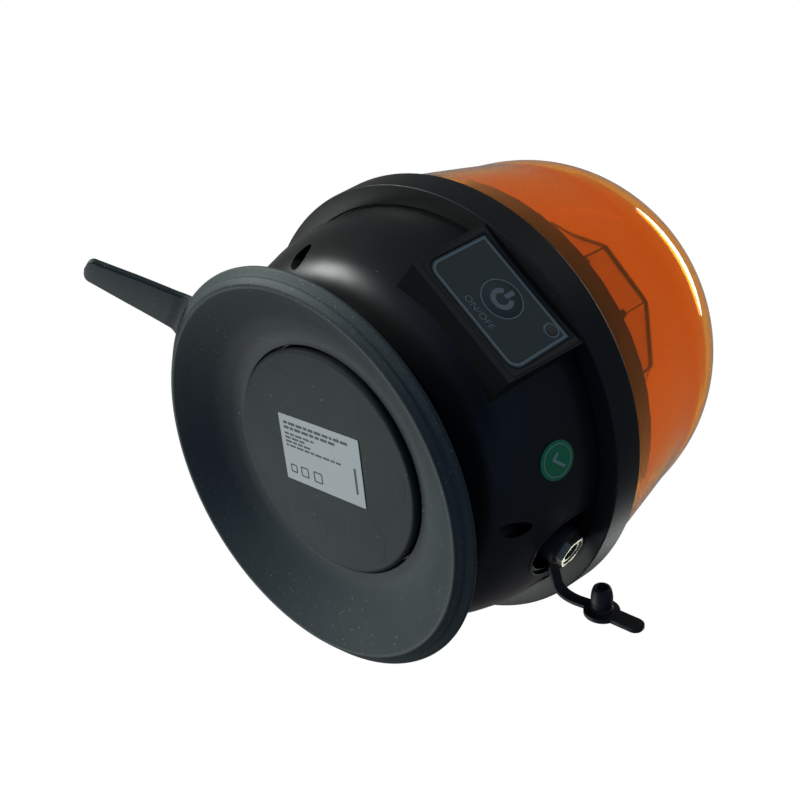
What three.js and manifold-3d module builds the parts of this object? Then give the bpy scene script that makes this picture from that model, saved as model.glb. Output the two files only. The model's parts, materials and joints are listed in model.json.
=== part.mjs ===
// Rechargeable amber LED warning beacon with a magnetic pad and a suction cup.
// Millimetres. +Z runs along the axis from the magnetic pad to the crown of the dome,
// -Y is the side with the switch panel. The origin is the centre of the pad's contact face.
import * as THREE from 'three';
import { ConvexGeometry } from 'three/addons/geometries/ConvexGeometry.js';
import { mergeVertices } from 'three/addons/utils/BufferGeometryUtils.js';
import Module from 'manifold-3d';

const wasm = await Module();
wasm.setup();

// overall
const gap = 0.3; // clearance left between pieces that touch
const seamZ = 46.5; // underside of the lens ring
const ringHeight = 11;
const ringRadius = 76;
const domeHeight = 93; // from the top of the ring to the crown
const domeWall = 2.4;
const bowlWall = 2.6;
const floorZ = seamZ - 38.3; // underside of the bowl
const roundSteps = 48;

// base
const padRadius = 37.4;
const padThickness = 2;
const cupInnerRadius = 38.4;
const magnetCount = 6;
const magnetCircle = 26;
const magnetRadius = 8.5;
const magnetTurn = 12; // degrees from +X to the first magnet
const keeperRadius = 42.5;
const tabAzimuth = 177.5; // degrees
const tabDroop = 33; // degrees below the rim
const tabLength = 33;
const tabThickness = 2.4;

// switch panel
const panelReach = 71; // from the axis to the panel face, at the ring
const panelTilt = 5.8; // degrees, leaning in towards the base
const panelHalfTop = 22.5;
const panelHalfBase = 20.9;
const panelDrop = 30.5; // from the ring down to the lower edge of the face
const membraneWidth = 38.5;
const membraneHeight = 24;
const membraneDown = 15.1; // from the ring to the middle of the membrane
const buttonUp = 1.5; // button centre above the middle of the membrane
const buttonRadius = 6.8;
const indicatorAcross = 14.8;
const indicatorUp = 8.2;

// charging socket
const jackAzimuth = -20; // degrees
const jackDown = 10.5; // below the ring
const jackFloor = 62.5; // from the axis to the floor of the recess
const recessHalf = 12;

// housing screws
const screwCircle = 61.2;
const screwAzimuths = [-147, -33, 90];

// light unit
const drumRadius = 69.8;
const drumTopZ = seamZ + 25;
const opticCorner = 39.8;
const opticTopZ = seamZ + 80;
const towerCorner = 34;
const sideCount = 10;
const firstCorner = 5; // degrees from +X to the first corner

const rad = THREE.MathUtils.degToRad;

function paint(color, roughness, metalness = 0, opacity = 1) {
  return new THREE.MeshStandardMaterial({
    color,
    roughness,
    metalness,
    opacity,
    transparent: opacity < 1,
  });
}

const colours = {
  dome: paint(0xc46412, 0.08, 0, 0.55),
  clear: paint(0xe8e4da, 0.1, 0, 0.4),
  black: paint(0x1d1f20, 0.42),
  blackMatt: paint(0x26292b, 0.6),
  rubber: paint(0x3b4246, 0.75),
  padRubber: paint(0x3a3f3e, 0.7),
  film: paint(0x303734, 0.35),
  paper: paint(0xb9bcbb, 0.6),
  green: paint(0x1f7a46, 0.4),
  steel: paint(0xb8b6ae, 0.3, 1),
  nickel: paint(0xc4bfa6, 0.28, 1),
  magnet: paint(0xa8abac, 0.3, 1),
  board: paint(0x1f5b36, 0.5),
  whiteBoard: paint(0xe6e6e0, 0.5),
  cell: paint(0x2f6fb0, 0.4),
  red: paint(0xa3201c, 0.5),
};

function toSolid(geometry) {
  const bare = geometry.clone();
  bare.deleteAttribute('normal');
  bare.deleteAttribute('uv');
  const merged = mergeVertices(bare, 1e-4);
  const vertProperties = new Float32Array(merged.attributes.position.array);
  const triVerts = new Uint32Array(merged.index.array);
  return new wasm.Manifold(new wasm.Mesh({ numProp: 3, vertProperties, triVerts }));
}

function toGeometry(solid) {
  const mesh = solid.getMesh();
  const geometry = new THREE.BufferGeometry();
  geometry.setAttribute('position', new THREE.BufferAttribute(new Float32Array(mesh.vertProperties), 3));
  geometry.setIndex(new THREE.BufferAttribute(new Uint32Array(mesh.triVerts), 1));
  geometry.computeVertexNormals();
  return geometry;
}

const beacon = new THREE.Group();
beacon.name = 'warning_beacon';

function addPart(name, solid, material) {
  const mesh = new THREE.Mesh(toGeometry(solid), material.clone());
  mesh.name = name;
  beacon.add(mesh);
}

// a closed outline in radius and height, turned about Z
function revolve(outline, steps = roundSteps) {
  const closed = outline[0][0] === 0 ? outline : [...outline, outline[0]];
  let area = 0;
  for (let i = 0; i < outline.length; i += 1) {
    const [r0, z0] = outline[i];
    const [r1, z1] = outline[(i + 1) % outline.length];
    area += r0 * z1 - r1 * z0;
  }
  const ordered = area > 0 ? closed : [...closed].reverse();
  const points = ordered.map(([r, z]) => new THREE.Vector2(r, z));
  const geometry = new THREE.LatheGeometry(points, steps);
  geometry.rotateX(Math.PI / 2);
  return toSolid(geometry);
}

function ring(inner, outer, z0, z1, steps = roundSteps) {
  return revolve([[inner, z0], [outer, z0], [outer, z1], [inner, z1]], steps);
}

function disc(radius, z0, z1, steps = 24) {
  const geometry = new THREE.CylinderGeometry(radius, radius, z1 - z0, steps);
  geometry.rotateX(Math.PI / 2);
  geometry.translate(0, 0, (z0 + z1) / 2);
  return toSolid(geometry);
}

function box(x, y, z, cx = 0, cy = 0, cz = 0) {
  const geometry = new THREE.BoxGeometry(x, y, z);
  geometry.translate(cx, cy, cz);
  return toSolid(geometry);
}

function prism(shape, z0, z1, curveSegments = 12) {
  const geometry = new THREE.ExtrudeGeometry(shape, {
    depth: z1 - z0,
    bevelEnabled: false,
    curveSegments,
  });
  geometry.translate(0, 0, z0);
  return toSolid(geometry);
}

function polygon(points) {
  return new THREE.Shape(points.map(([x, y]) => new THREE.Vector2(x, y)));
}

function regular(corner, count, turn = 0) {
  const points = [];
  for (let i = 0; i < count; i += 1) {
    const angle = rad(turn + (360 * i) / count);
    points.push([corner * Math.cos(angle), corner * Math.sin(angle)]);
  }
  return polygon(points);
}

// a rectangle whose lower two corners are rounded
function panelShape(width, height, corner) {
  const shape = new THREE.Shape();
  const x = width / 2;
  const y = height / 2;
  shape.moveTo(-x, y);
  shape.lineTo(-x, -y + corner);
  shape.absarc(-x + corner, -y + corner, corner, Math.PI, 1.5 * Math.PI, false);
  shape.lineTo(x - corner, -y);
  shape.absarc(x - corner, -y + corner, corner, 1.5 * Math.PI, 2 * Math.PI, false);
  shape.lineTo(x, y);
  return shape;
}

function placed(solid, matrix) {
  const geometry = toGeometry(solid);
  geometry.applyMatrix4(matrix);
  return toSolid(geometry);
}

function frameOf(u, v, n, origin) {
  return new THREE.Matrix4().makeBasis(u, v, n).setPosition(origin);
}

function around(azimuth, radius = 0, z = 0) {
  const angle = rad(azimuth);
  const matrix = new THREE.Matrix4().makeRotationZ(angle);
  return matrix.setPosition(radius * Math.cos(angle), radius * Math.sin(angle), z);
}

function tube(points, radius, steps) {
  const path = new THREE.CatmullRomCurve3(points.map(([x, y, z]) => new THREE.Vector3(x, y, z)));
  const geometry = new THREE.ExtrudeGeometry(regular(radius, 8), {
    steps,
    extrudePath: path,
    bevelEnabled: false,
  });
  return toSolid(geometry);
}

// the same outline moved inwards by one wall thickness
function inset(outline, distance) {
  return outline.map(([r, z], i) => {
    const [r0, z0] = outline[Math.max(i - 1, 0)];
    const [r1, z1] = outline[Math.min(i + 1, outline.length - 1)];
    const length = Math.hypot(r1 - r0, z1 - z0);
    const inR = r - (distance * (z1 - z0)) / length;
    const inZ = z + (distance * (r1 - r0)) / length;
    return [Math.max(inR, 0), inZ];
  });
}

// local frames: u across, v up, n outwards
const tilt = rad(panelTilt);
const panelFrame = frameOf(
  new THREE.Vector3(1, 0, 0),
  new THREE.Vector3(0, -Math.sin(tilt), Math.cos(tilt)),
  new THREE.Vector3(0, -Math.cos(tilt), -Math.sin(tilt)),
  new THREE.Vector3(0, -panelReach, seamZ),
);

const jackAngle = rad(jackAzimuth);
const jackZ = seamZ - jackDown;
const jackFrame = frameOf(
  new THREE.Vector3(-Math.sin(jackAngle), Math.cos(jackAngle), 0),
  new THREE.Vector3(0, 0, 1),
  new THREE.Vector3(Math.cos(jackAngle), Math.sin(jackAngle), 0),
  new THREE.Vector3(0, 0, jackZ),
);

// ---- bowl ----

// outer surface of the bowl: radius, depth below the ring
const bowlCurve = [
  [68.3, 0], [68, 10], [67.4, 14], [66.6, 18], [65.4, 22], [63.9, 26],
  [62.2, 30], [59.8, 33.5], [56.4, 36.3], [52.4, 37.8],
];
const bowlTopZ = seamZ + 0.5;
const columnTopZ = seamZ + 2.5; // the screw columns carry the light unit
const recessTopZ = floorZ + 3;
const innerFloorZ = recessTopZ + 2.5;

function bowlOutline() {
  return [[68.3, bowlTopZ], ...bowlCurve.map(([r, down]) => [r, seamZ - down])];
}

function bowlOuter() {
  return revolve([[0, bowlTopZ], ...bowlOutline(), [48, floorZ], [0, floorZ]]);
}

function bowlInner() {
  const wall = inset([...bowlOutline()].reverse(), bowlWall).reverse();
  const kept = wall.filter(([, z], i) => i % 2 === 0 && z > innerFloorZ);
  kept[0] = [kept[0][0], bowlTopZ + 1];
  return revolve([[0, bowlTopZ + 1], ...kept, [53, innerFloorZ], [0, innerFloorZ]]);
}

function panelBlock() {
  const top = seamZ - gap;
  const low = seamZ - panelDrop;
  const lean = panelDrop * Math.tan(tilt);
  const corners = [];
  for (const side of [-1, 1]) {
    corners.push([side * panelHalfTop, -panelReach, top]);
    corners.push([side * panelHalfTop, -40, top]);
    corners.push([side * panelHalfBase, -panelReach + lean, low]);
    corners.push([side * panelHalfBase, -40, low - 1]);
  }
  return toSolid(new ConvexGeometry(corners.map(([x, y, z]) => new THREE.Vector3(x, y, z))));
}

// the recess around the socket is a slot with a round lower end, open towards the ring
function recessShape(half, top) {
  const shape = new THREE.Shape();
  shape.moveTo(-half, top);
  shape.lineTo(-half, 0);
  shape.absarc(0, 0, half, Math.PI, 2 * Math.PI, false);
  shape.lineTo(half, top);
  return shape;
}

function screwPlace(index) {
  return around(screwAzimuths[index], screwCircle);
}

function bowlSolid() {
  const outer = bowlOuter();
  const inner = bowlInner();
  let solid = outer.add(panelBlock()).subtract(inner);
  // backing behind the socket recess
  const backing = placed(prism(recessShape(recessHalf + 2.4, jackDown - 0.2), jackFloor - 2.6, 72), jackFrame);
  solid = solid.add(backing.intersect(outer));
  // columns for the long screws, with their access bores and shoulders
  screwAzimuths.forEach((azimuth, index) => {
    const column = placed(disc(4.6, floorZ, bowlTopZ), screwPlace(index)).intersect(outer);
    const collar = placed(disc(4.6, seamZ - 2, columnTopZ), screwPlace(index));
    solid = solid.add(column).add(collar);
    solid = solid.subtract(placed(disc(2.7, floorZ - 2, seamZ - 10), screwPlace(index)));
    solid = solid.subtract(placed(disc(1.8, seamZ - 11, columnTopZ + 1, 14), screwPlace(index)));
  });
  // socket recess and the hole for the barrel
  solid = solid.subtract(placed(prism(recessShape(recessHalf, jackDown - 0.2), jackFloor, 80), jackFrame));
  solid = solid.subtract(placed(disc(4.4, 50, 70), jackFrame));
  // seat of the steel keeper plate, centre bolt hole, tray bosses
  solid = solid.subtract(disc(keeperRadius + 0.7, floorZ - 1, recessTopZ, roundSteps));
  for (const x of [-28, 28]) {
    solid = solid.add(placed(disc(3.5, innerFloorZ - 1, innerFloorZ + 5.3), around(0, 0).setPosition(x, 0, 0)));
    solid = solid.subtract(placed(disc(1.4, innerFloorZ, innerFloorZ + 8, 16), around(0, 0).setPosition(x, 0, 0)));
  }
  solid = solid.subtract(disc(2.9, floorZ - 1, innerFloorZ + 2));
  // hollow behind the panel, seat of the membrane, openings for button and indicator
  const inside = prism(panelShape(36, 25, 2), -14, -3.4, 3).translate([0, -membraneDown, 0]);
  solid = solid.subtract(placed(inside, panelFrame));
  const seat = prism(panelShape(membraneWidth + 0.6, membraneHeight + 0.6, 4.3), -0.8, 4, 6);
  solid = solid.subtract(placed(seat.translate([0, -membraneDown, 0]), panelFrame));
  const opening = disc(7.6, -8, 2).translate([0, buttonUp - membraneDown, 0]);
  solid = solid.subtract(placed(opening, panelFrame));
  const window = disc(2.3, -8, 2, 20).translate([indicatorAcross, indicatorUp - membraneDown, 0]);
  return solid.subtract(placed(window, panelFrame));
}

// ---- ring, dome and seals ----

function ringSolid() {
  const top = seamZ + ringHeight;
  return revolve([
    [68.9, seamZ], [74.7, seamZ], [75.05, seamZ + 0.35],
    [ringRadius, top - 0.5], [ringRadius - 0.4, top], [74.9, top],
    [74.7, top - 0.4], [74.7, seamZ + 2.5], [66.3, seamZ + 2.5],
    [66.3, seamZ + 0.8], [68.9, seamZ + 0.8],
  ]);
}

function gasketSolid() {
  return ring(71.8, 74.2, seamZ + 2.8, seamZ + 3.8, 36);
}

// outer surface of the dome: radius, height above the ring's underside
const domeCurve = [
  [74.4, 4.1], [74.4, 11.5], [72.7, 25], [70.4, 41], [68.1, 57], [67.2, 65.5],
  [65.9, 72], [63.8, 78.3], [61, 84.2], [57.3, 90], [52.8, 94.8], [46.5, 99],
  [39, 101.9], [28, 103.4], [14, 103.9],
];

function domeSolid() {
  const outer = domeCurve.map(([r, up]) => [r, seamZ + up]);
  const inner = inset(outer, domeWall).filter((point, i) => i % 2 === 0);
  inner[0] = [74.4 - domeWall, seamZ + 3];
  const crown = seamZ + ringHeight + domeHeight;
  const outside = revolve([[0, outer[0][1]], ...outer, [0, crown]]);
  const inside = revolve([[0, seamZ + 3], ...inner, [0, crown - domeWall]]);
  return outside.subtract(inside);
}

// ---- light unit ----

function drumSolid() {
  const low = seamZ + 2.8;
  const plate = drumTopZ - 2.2;
  let solid = revolve([
    [67.2, low], [71.3, low], [71.3, low + 2.2], [drumRadius, low + 2.6],
    [drumRadius, drumTopZ - 0.5], [drumRadius - 0.5, drumTopZ], [8, drumTopZ],
    [8, plate], [67.2, plate],
  ]);
  const bore = low + 14;
  screwAzimuths.forEach((azimuth, index) => {
    solid = solid.add(placed(disc(4.2, low, plate + 0.5), screwPlace(index)));
    solid = solid.subtract(placed(disc(1.8, low - 1, bore, 16), screwPlace(index)));
  });
  for (const azimuth of boardScrewAzimuths) {
    solid = solid.add(placed(disc(3, boardTopZ + gap, plate + 0.5, 16), around(azimuth, boardScrewCircle)));
    solid = solid.subtract(placed(disc(1.3, boardTopZ - 1, plate - 0.8, 12), around(azimuth, boardScrewCircle)));
  }
  return solid;
}

const boardTopZ = drumTopZ - 7;
const boardScrewCircle = 48;
const boardScrewAzimuths = [30, 150, 270];

function controlBoardSolid() {
  let solid = disc(54, boardTopZ - 1.6, boardTopZ, 40);
  for (const azimuth of boardScrewAzimuths) {
    solid = solid.subtract(placed(disc(1.3, boardTopZ - 3, boardTopZ + 2, 12), around(azimuth, boardScrewCircle)));
  }
  const chip = box(9, 9, 2, 20, 22, boardTopZ - 2.5);
  const capacitor = disc(4, boardTopZ - 13, boardTopZ - 1.5).translate([-24, 20, 0]);
  return solid.subtract(disc(5, boardTopZ - 3, boardTopZ + 2)).add(chip).add(capacitor);
}

function boardScrewSolid() {
  const head = disc(2.3, boardTopZ - 3.5, boardTopZ - 1.6 - gap, 12);
  return head.add(disc(1, boardTopZ - 3, boardTopZ + 3.5, 12));
}

function towerSolid() {
  const low = drumTopZ + gap;
  const wallTop = seamZ + 65;
  const postTop = seamZ + 69.5;
  const outside = prism(regular(towerCorner, sideCount, firstCorner), low, wallTop);
  let solid = outside.subtract(prism(regular(towerCorner - 2.4, sideCount, firstCorner), low - 1, wallTop + 1));
  for (let i = 0; i < sideCount; i += 1) {
    const post = box(3.4, 2.4, postTop - low, 0, 0, (postTop + low) / 2);
    solid = solid.add(placed(post, around(firstCorner + i * 36, towerCorner + 0.6)));
  }
  return solid;
}

function sideFrame(index, reach, z) {
  return around(firstCorner + 18 + index * 36, reach, z);
}

const towerFlat = towerCorner * Math.cos(Math.PI / sideCount);

// a strip board with three lamps soldered to it, the board's back at x = 0
function ledModuleSolid(index) {
  let solid = box(1.2, 15.5, 36, 0.6);
  for (const up of [-12, 0, 12]) {
    const lens = new THREE.CylinderGeometry(1.1, 1.9, 1.2, 8);
    lens.rotateZ(-Math.PI / 2);
    lens.translate(2.3, 0, up);
    solid = solid.add(box(0.9, 5, 5, 1.45, 0, up)).add(toSolid(lens));
  }
  return placed(solid, sideFrame(index, towerFlat + gap, drumTopZ + 20));
}

function opticSolid() {
  const low = drumTopZ + gap;
  const outside = prism(regular(opticCorner, sideCount, firstCorner), low, opticTopZ);
  const inside = prism(regular(opticCorner - 1.7, sideCount, firstCorner), low - 1, opticTopZ - 1.6);
  return outside.subtract(inside);
}

// ---- base ----

function cupSolid() {
  return revolve([
    [cupInnerRadius, 2.2], [cupInnerRadius, 9.3], [42.8, 9.3], [42.8, 7.9], [49.5, 7.9],
    [50, 3], [51.5, 0.3], [55, -2.4], [59, -4.3], [64.8, -5.8],
    [65.2, -6.4], [64.9, -7.1], [62.9, -8.4], [62.6, -9.1], [60.9, -10.5],
    [59.9, -10.5], [54, -5.9], [48, -1.5], [43, 1], [40, 1.9],
  ]);
}

function tabFrame() {
  const angle = rad(tabAzimuth);
  const droop = rad(tabDroop);
  const along = new THREE.Vector3(
    Math.cos(angle) * Math.cos(droop),
    Math.sin(angle) * Math.cos(droop),
    -Math.sin(droop),
  );
  const across = new THREE.Vector3(-Math.sin(angle), Math.cos(angle), 0);
  const normal = new THREE.Vector3().crossVectors(along, across);
  const root = new THREE.Vector3(64.4 * Math.cos(angle), 64.4 * Math.sin(angle), -6.5);
  return frameOf(along, across, normal, root);
}

function tabSolid() {
  const shape = new THREE.Shape();
  const tip = tabLength + 1;
  shape.moveTo(-0.4, -9.4);
  shape.quadraticCurveTo(1.8, -7.7, 5, -7.4);
  shape.lineTo(tip - 3.4, -4.8);
  shape.quadraticCurveTo(tip, -4.4, tip, -1.6);
  shape.lineTo(tip, 1.6);
  shape.quadraticCurveTo(tip, 4.4, tip - 3.4, 4.8);
  shape.lineTo(5, 7.4);
  shape.quadraticCurveTo(1.8, 7.7, -0.4, 9.4);
  return placed(prism(shape, 0, tabThickness, 5), tabFrame()).subtract(cupSolid());
}

const labelPlace = around(-42.3).setPosition(-1.4, -1.1, 0);

function padSolid() {
  const solid = revolve([
    [0, 0], [padRadius - 1, 0], [padRadius - 0.3, 0.3], [padRadius, 1],
    [padRadius, padThickness], [0, padThickness],
  ]);
  return solid.subtract(placed(box(35.7, 23.9, 1, 0, 0, 0), labelPlace));
}

function labelSolid() {
  return placed(box(35.1, 23.3, 0.2, 0, 0, 0.1), labelPlace);
}

function magnetPlace(index) {
  return around(magnetTurn + index * 60, magnetCircle);
}

function carrierSolid() {
  let solid = disc(padRadius, padThickness + gap, 9.3, 60);
  for (let i = 0; i < magnetCount; i += 1) {
    solid = solid.subtract(placed(disc(magnetRadius + 0.3, 1, 7.9, 18), magnetPlace(i)));
  }
  solid = solid.subtract(disc(5.2, 1, 8));
  return solid.subtract(disc(2.9, 1, 12));
}

function keeperSolid() {
  return disc(keeperRadius, 9.6, 10.9, 60).subtract(disc(2.9, 8, 13));
}

function centreBoltSolid() {
  return disc(4.6, 4.4, 7.6).add(disc(2.5, 7, innerFloorZ + 5.2, 16));
}

function nutShape(flats, bore) {
  const shape = regular(flats / Math.cos(Math.PI / 6) / 2, 6, 30);
  const hole = new THREE.Path();
  hole.absarc(0, 0, bore, 0, 2 * Math.PI, true);
  shape.holes.push(hole);
  return shape;
}

// ---- battery ----

function traySolid() {
  const low = innerFloorZ + gap;
  const deck = innerFloorZ + 5.6;
  const top = deck + 20.7;
  let solid = box(74, 44, top - low, 0, 0, (top + low) / 2);
  solid = solid.subtract(box(70, 40, 40, 0, 0, deck + 2 + 20));
  solid = solid.subtract(box(70, 40, deck - low + 2, 0, 0, low - 1 + (deck - low) / 2));
  solid = solid.subtract(box(6.6, 50, 3, 0, 0, top - 5.5));
  for (const x of [-28, 28]) {
    solid = solid.subtract(disc(1.6, deck - 1, deck + 4, 12).translate([x, 0, 0]));
  }
  return solid;
}

const trayDeck = innerFloorZ + 7.6;
const trayTop = innerFloorZ + 26.3;

function cellSolid(side) {
  const geometry = new THREE.CylinderGeometry(9.15, 9.15, 65, 28);
  geometry.rotateZ(Math.PI / 2);
  geometry.translate(0, side * 9.7, trayDeck + gap + 9.15);
  const nub = new THREE.CylinderGeometry(2.6, 2.6, 1.6, 14);
  nub.rotateZ(Math.PI / 2);
  nub.translate(side * 32.9, side * 9.7, trayDeck + gap + 9.15);
  return toSolid(geometry).add(toSolid(nub));
}

// a bar over both cells whose legs hook into windows in the tray's long walls
function clampSolid() {
  let solid = box(6, 49, 1.6, 0, 0, trayTop + gap + 0.8);
  for (const side of [-1, 1]) {
    solid = solid.add(box(6, 1.6, 8.4, 0, side * 23.3, trayTop - 3.2));
    solid = solid.add(box(6, 1.8, 1.6, 0, side * 22.4, trayTop - 5.6));
  }
  return solid;
}

function smallScrew(headZ, headRadius, headHeight, shankRadius, shankLength) {
  const head = disc(headRadius, headZ, headZ + headHeight, 12);
  return head.add(disc(shankRadius, headZ - shankLength, headZ + 0.5, 12));
}

// ---- long housing screw, head down in its access bore ----

function housingScrewSolid() {
  const shoulder = seamZ - 10;
  const head = disc(2.4, shoulder - gap - 3, shoulder - gap, 16);
  const shank = disc(1.5, shoulder - 1, seamZ + 15.5, 12);
  const slot = disc(1.1, shoulder - gap - 4, shoulder - gap - 1.6, 6);
  return head.add(shank).subtract(slot);
}

// ---- switch ----

function membraneSolid() {
  const shape = panelShape(membraneWidth, membraneHeight, 4);
  const hole = new THREE.Path();
  hole.absarc(0, buttonUp, buttonRadius + gap, 0, 2 * Math.PI, true);
  const window = new THREE.Path();
  window.absarc(indicatorAcross, indicatorUp, 2.3, 0, 2 * Math.PI, true);
  shape.holes.push(hole, window);
  return placed(prism(shape, -0.5, 0, 12).translate([0, -membraneDown, 0]), panelFrame);
}

function onPanel(solid, across = 0, up = 0) {
  return placed(solid.translate([across, up - membraneDown, 0]), panelFrame);
}

function actuatorSolid() {
  return onPanel(disc(1.6, -3.1, -0.8, 14), 0, buttonUp);
}

function tactSwitchSolid() {
  const body = box(6.2, 6.2, 3.4, 0, 0, -4.1).subtract(disc(1.9, -4.2, -1, 16));
  return onPanel(body, 0, buttonUp);
}

// board with the indicator's lamp soldered behind its lens
function switchBoardSolid() {
  const lamp = onPanel(box(3, 1.8, 1.6, 0, 0, -5.4), indicatorAcross, indicatorUp);
  return onPanel(box(34, 21, 1.2, 0, 0, -6.7)).add(lamp);
}

function indicatorSolid() {
  return onPanel(disc(2, -4.3, 0, 20), indicatorAcross, indicatorUp);
}

// ---- charging socket and its cap ----

function onJack(solid) {
  return placed(solid, jackFrame);
}

function jackBarrelSolid() {
  return onJack(ring(2.9, 4, jackFloor - 3.1, 70.7, 28));
}

function jackBodySolid() {
  return onJack(disc(6.4, 47, jackFloor - 3.4, 20));
}

function jackPinSolid() {
  return onJack(disc(1, jackFloor - 3.1, 69, 12));
}

function jackNutSolid() {
  return onJack(prism(nutShape(9.8, 4.3), 68.9, 71.1, 10));
}

// path of the strap in plan: across from the socket axis, distance from the beacon's axis
const strapFixed = [[5.6, 65.6], [8.2, 66.6], [11, 68.2], [13.4, 70], [15.15, 71.2]];
const strapLoose = [[15.9, 72.2], [16.1, 74.6], [15.6, 77.4], [14.4, 80.2], [13.2, 82.4]];
const strapWidth = 4;
const strapThickness = 1.5;

function strapShape(path) {
  const curve = new THREE.SplineCurve(path.map(([a, r]) => new THREE.Vector2(a, r)));
  const left = [];
  const right = [];
  for (let i = 0; i <= 10; i += 1) {
    const point = curve.getPoint(i / 10);
    const tangent = curve.getTangent(i / 10);
    const half = strapThickness / 2;
    left.push([point.x - tangent.y * half, point.y + tangent.x * half]);
    right.unshift([point.x + tangent.y * half, point.y - tangent.x * half]);
  }
  return [...left, ...right];
}

// plan coordinates (across, outwards) with height along Z
const planFrame = frameOf(
  new THREE.Vector3(-Math.sin(jackAngle), Math.cos(jackAngle), 0),
  new THREE.Vector3(Math.cos(jackAngle), Math.sin(jackAngle), 0),
  new THREE.Vector3(0, 0, -1),
  new THREE.Vector3(0, 0, jackZ),
);

function strapSolid(path, width) {
  return placed(prism(polygon(strapShape(path)), -width / 2, width / 2), planFrame);
}

function tetherSolid() {
  const collar = onJack(ring(4.3, 6.3, jackFloor + gap, 68.6, 32));
  const barrel = onJack(disc(5, jackFloor, 80));
  return collar.add(strapSolid(strapFixed, strapWidth).subtract(barrel));
}

const capCentre = [11.1, 86.6];
const capLean = 21; // degrees between the cap's plane and the outward direction

function capFrame() {
  const lean = rad(capLean);
  const along = new THREE.Vector3(-Math.sin(lean), Math.cos(lean), 0);
  const plug = new THREE.Vector3(-Math.cos(lean), -Math.sin(lean), 0);
  const up = new THREE.Vector3().crossVectors(plug, along);
  const local = frameOf(along, up, plug, new THREE.Vector3(capCentre[0], capCentre[1], 0));
  return new THREE.Matrix4().multiplyMatrices(planFrame, local);
}

function capSolid() {
  const flange = disc(5.5, -1.6, 0, 28);
  const plug = revolve([
    [0, -0.5], [3.6, -0.5], [3.6, 1], [3.1, 1.3], [3.3, 5.2],
    [2.9, 8], [1.7, 8], [1.7, 3], [0, 3],
  ], 18);
  const shape = new THREE.Shape();
  shape.moveTo(3, -2.9);
  shape.lineTo(11.4, -2.6);
  shape.absarc(11.4, 0, 2.6, -Math.PI / 2, Math.PI / 2, false);
  shape.lineTo(3, 2.9);
  const tongue = prism(shape, -1.6, 0, 8);
  const cap = placed(flange.add(plug).add(tongue), capFrame());
  return cap.add(strapSolid(strapLoose, strapWidth));
}

// ---- sticker on the bowl ----

function stickerSolid() {
  const azimuth = -49.2;
  const outline = bowlCurve.map(([r, down]) => [r, seamZ - down]);
  const sheet = outline.map(([r, z]) => [r + 0.5, z]);
  const back = outline.map(([r, z]) => [r + 0.3, z]).reverse();
  const shell = revolve([...sheet, ...back], 96);
  const lean = rad(13);
  const angle = rad(azimuth);
  const normal = new THREE.Vector3(
    Math.cos(angle) * Math.cos(lean),
    Math.sin(angle) * Math.cos(lean),
    -Math.sin(lean),
  );
  const across = new THREE.Vector3(-Math.sin(angle), Math.cos(angle), 0);
  const up = new THREE.Vector3().crossVectors(normal, across);
  const origin = new THREE.Vector3(66.8 * Math.cos(angle), 66.8 * Math.sin(angle), seamZ - 17.2);
  return shell.intersect(placed(disc(6, -5, 5, 32), frameOf(across, up, normal, origin)));
}

// ---- wiring ----

const leadEndZ = boardTopZ - 1.6 - gap;
const leadRadius = 0.9;

function jackLeadSolid() {
  const start = new THREE.Vector3(0, 0, 46.5).applyMatrix4(jackFrame);
  const bend = new THREE.Vector3(0, 0, 43.5).applyMatrix4(jackFrame);
  return tube([
    [start.x, start.y, start.z], [bend.x, bend.y, bend.z], [39.5, -14, 41], [38, -13, 52], [37.5, -12.5, leadEndZ],
  ], leadRadius, 14);
}

function batteryLeadSolid() {
  const x = 33.8;
  const y = -9.7;
  return tube([[x, y, trayDeck + 9], [x, y, trayTop], [32, -6, 48], [29, 0, 56], [28, 2, leadEndZ]], leadRadius, 14);
}

function switchLeadSolid() {
  const start = new THREE.Vector3(-8, -9, -8.6).applyMatrix4(panelFrame);
  return tube([
    [start.x, start.y, start.z], [-8, -56, 45], [-8, -50, 54], [-8, -48, leadEndZ],
  ], leadRadius, 12);
}

// ---- assembly ----

addPart('housing_bowl', bowlSolid(), colours.black);
addPart('lens_ring', ringSolid(), colours.black);
addPart('lens_gasket', gasketSolid(), colours.rubber);
addPart('dome_lens', domeSolid(), colours.dome);
addPart('led_drum', drumSolid(), colours.black);
addPart('led_tower', towerSolid(), colours.blackMatt);
addPart('inner_optic', opticSolid(), colours.clear);
for (let i = 0; i < sideCount; i += 1) {
  addPart(`led_module_${i + 1}`, ledModuleSolid(i), colours.whiteBoard);
}
addPart('control_board', controlBoardSolid(), colours.board);
boardScrewAzimuths.forEach((azimuth, i) => {
  addPart(`board_screw_${i + 1}`, placed(boardScrewSolid(), around(azimuth, boardScrewCircle)), colours.steel);
});

addPart('suction_cup', cupSolid(), colours.rubber);
addPart('pull_tab', tabSolid(), colours.rubber);
addPart('magnet_pad', padSolid(), colours.padRubber);
addPart('rating_label', labelSolid(), colours.paper);
addPart('magnet_carrier', carrierSolid(), colours.blackMatt);
for (let i = 0; i < magnetCount; i += 1) {
  addPart(`magnet_${i + 1}`, placed(disc(magnetRadius, 2.6, 7.6), magnetPlace(i)), colours.magnet);
}
addPart('keeper_plate', keeperSolid(), colours.steel);
addPart('centre_bolt', centreBoltSolid(), colours.steel);
addPart('centre_nut', prism(nutShape(8, 2.7), innerFloorZ + gap, innerFloorZ + 4.3), colours.steel);

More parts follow.
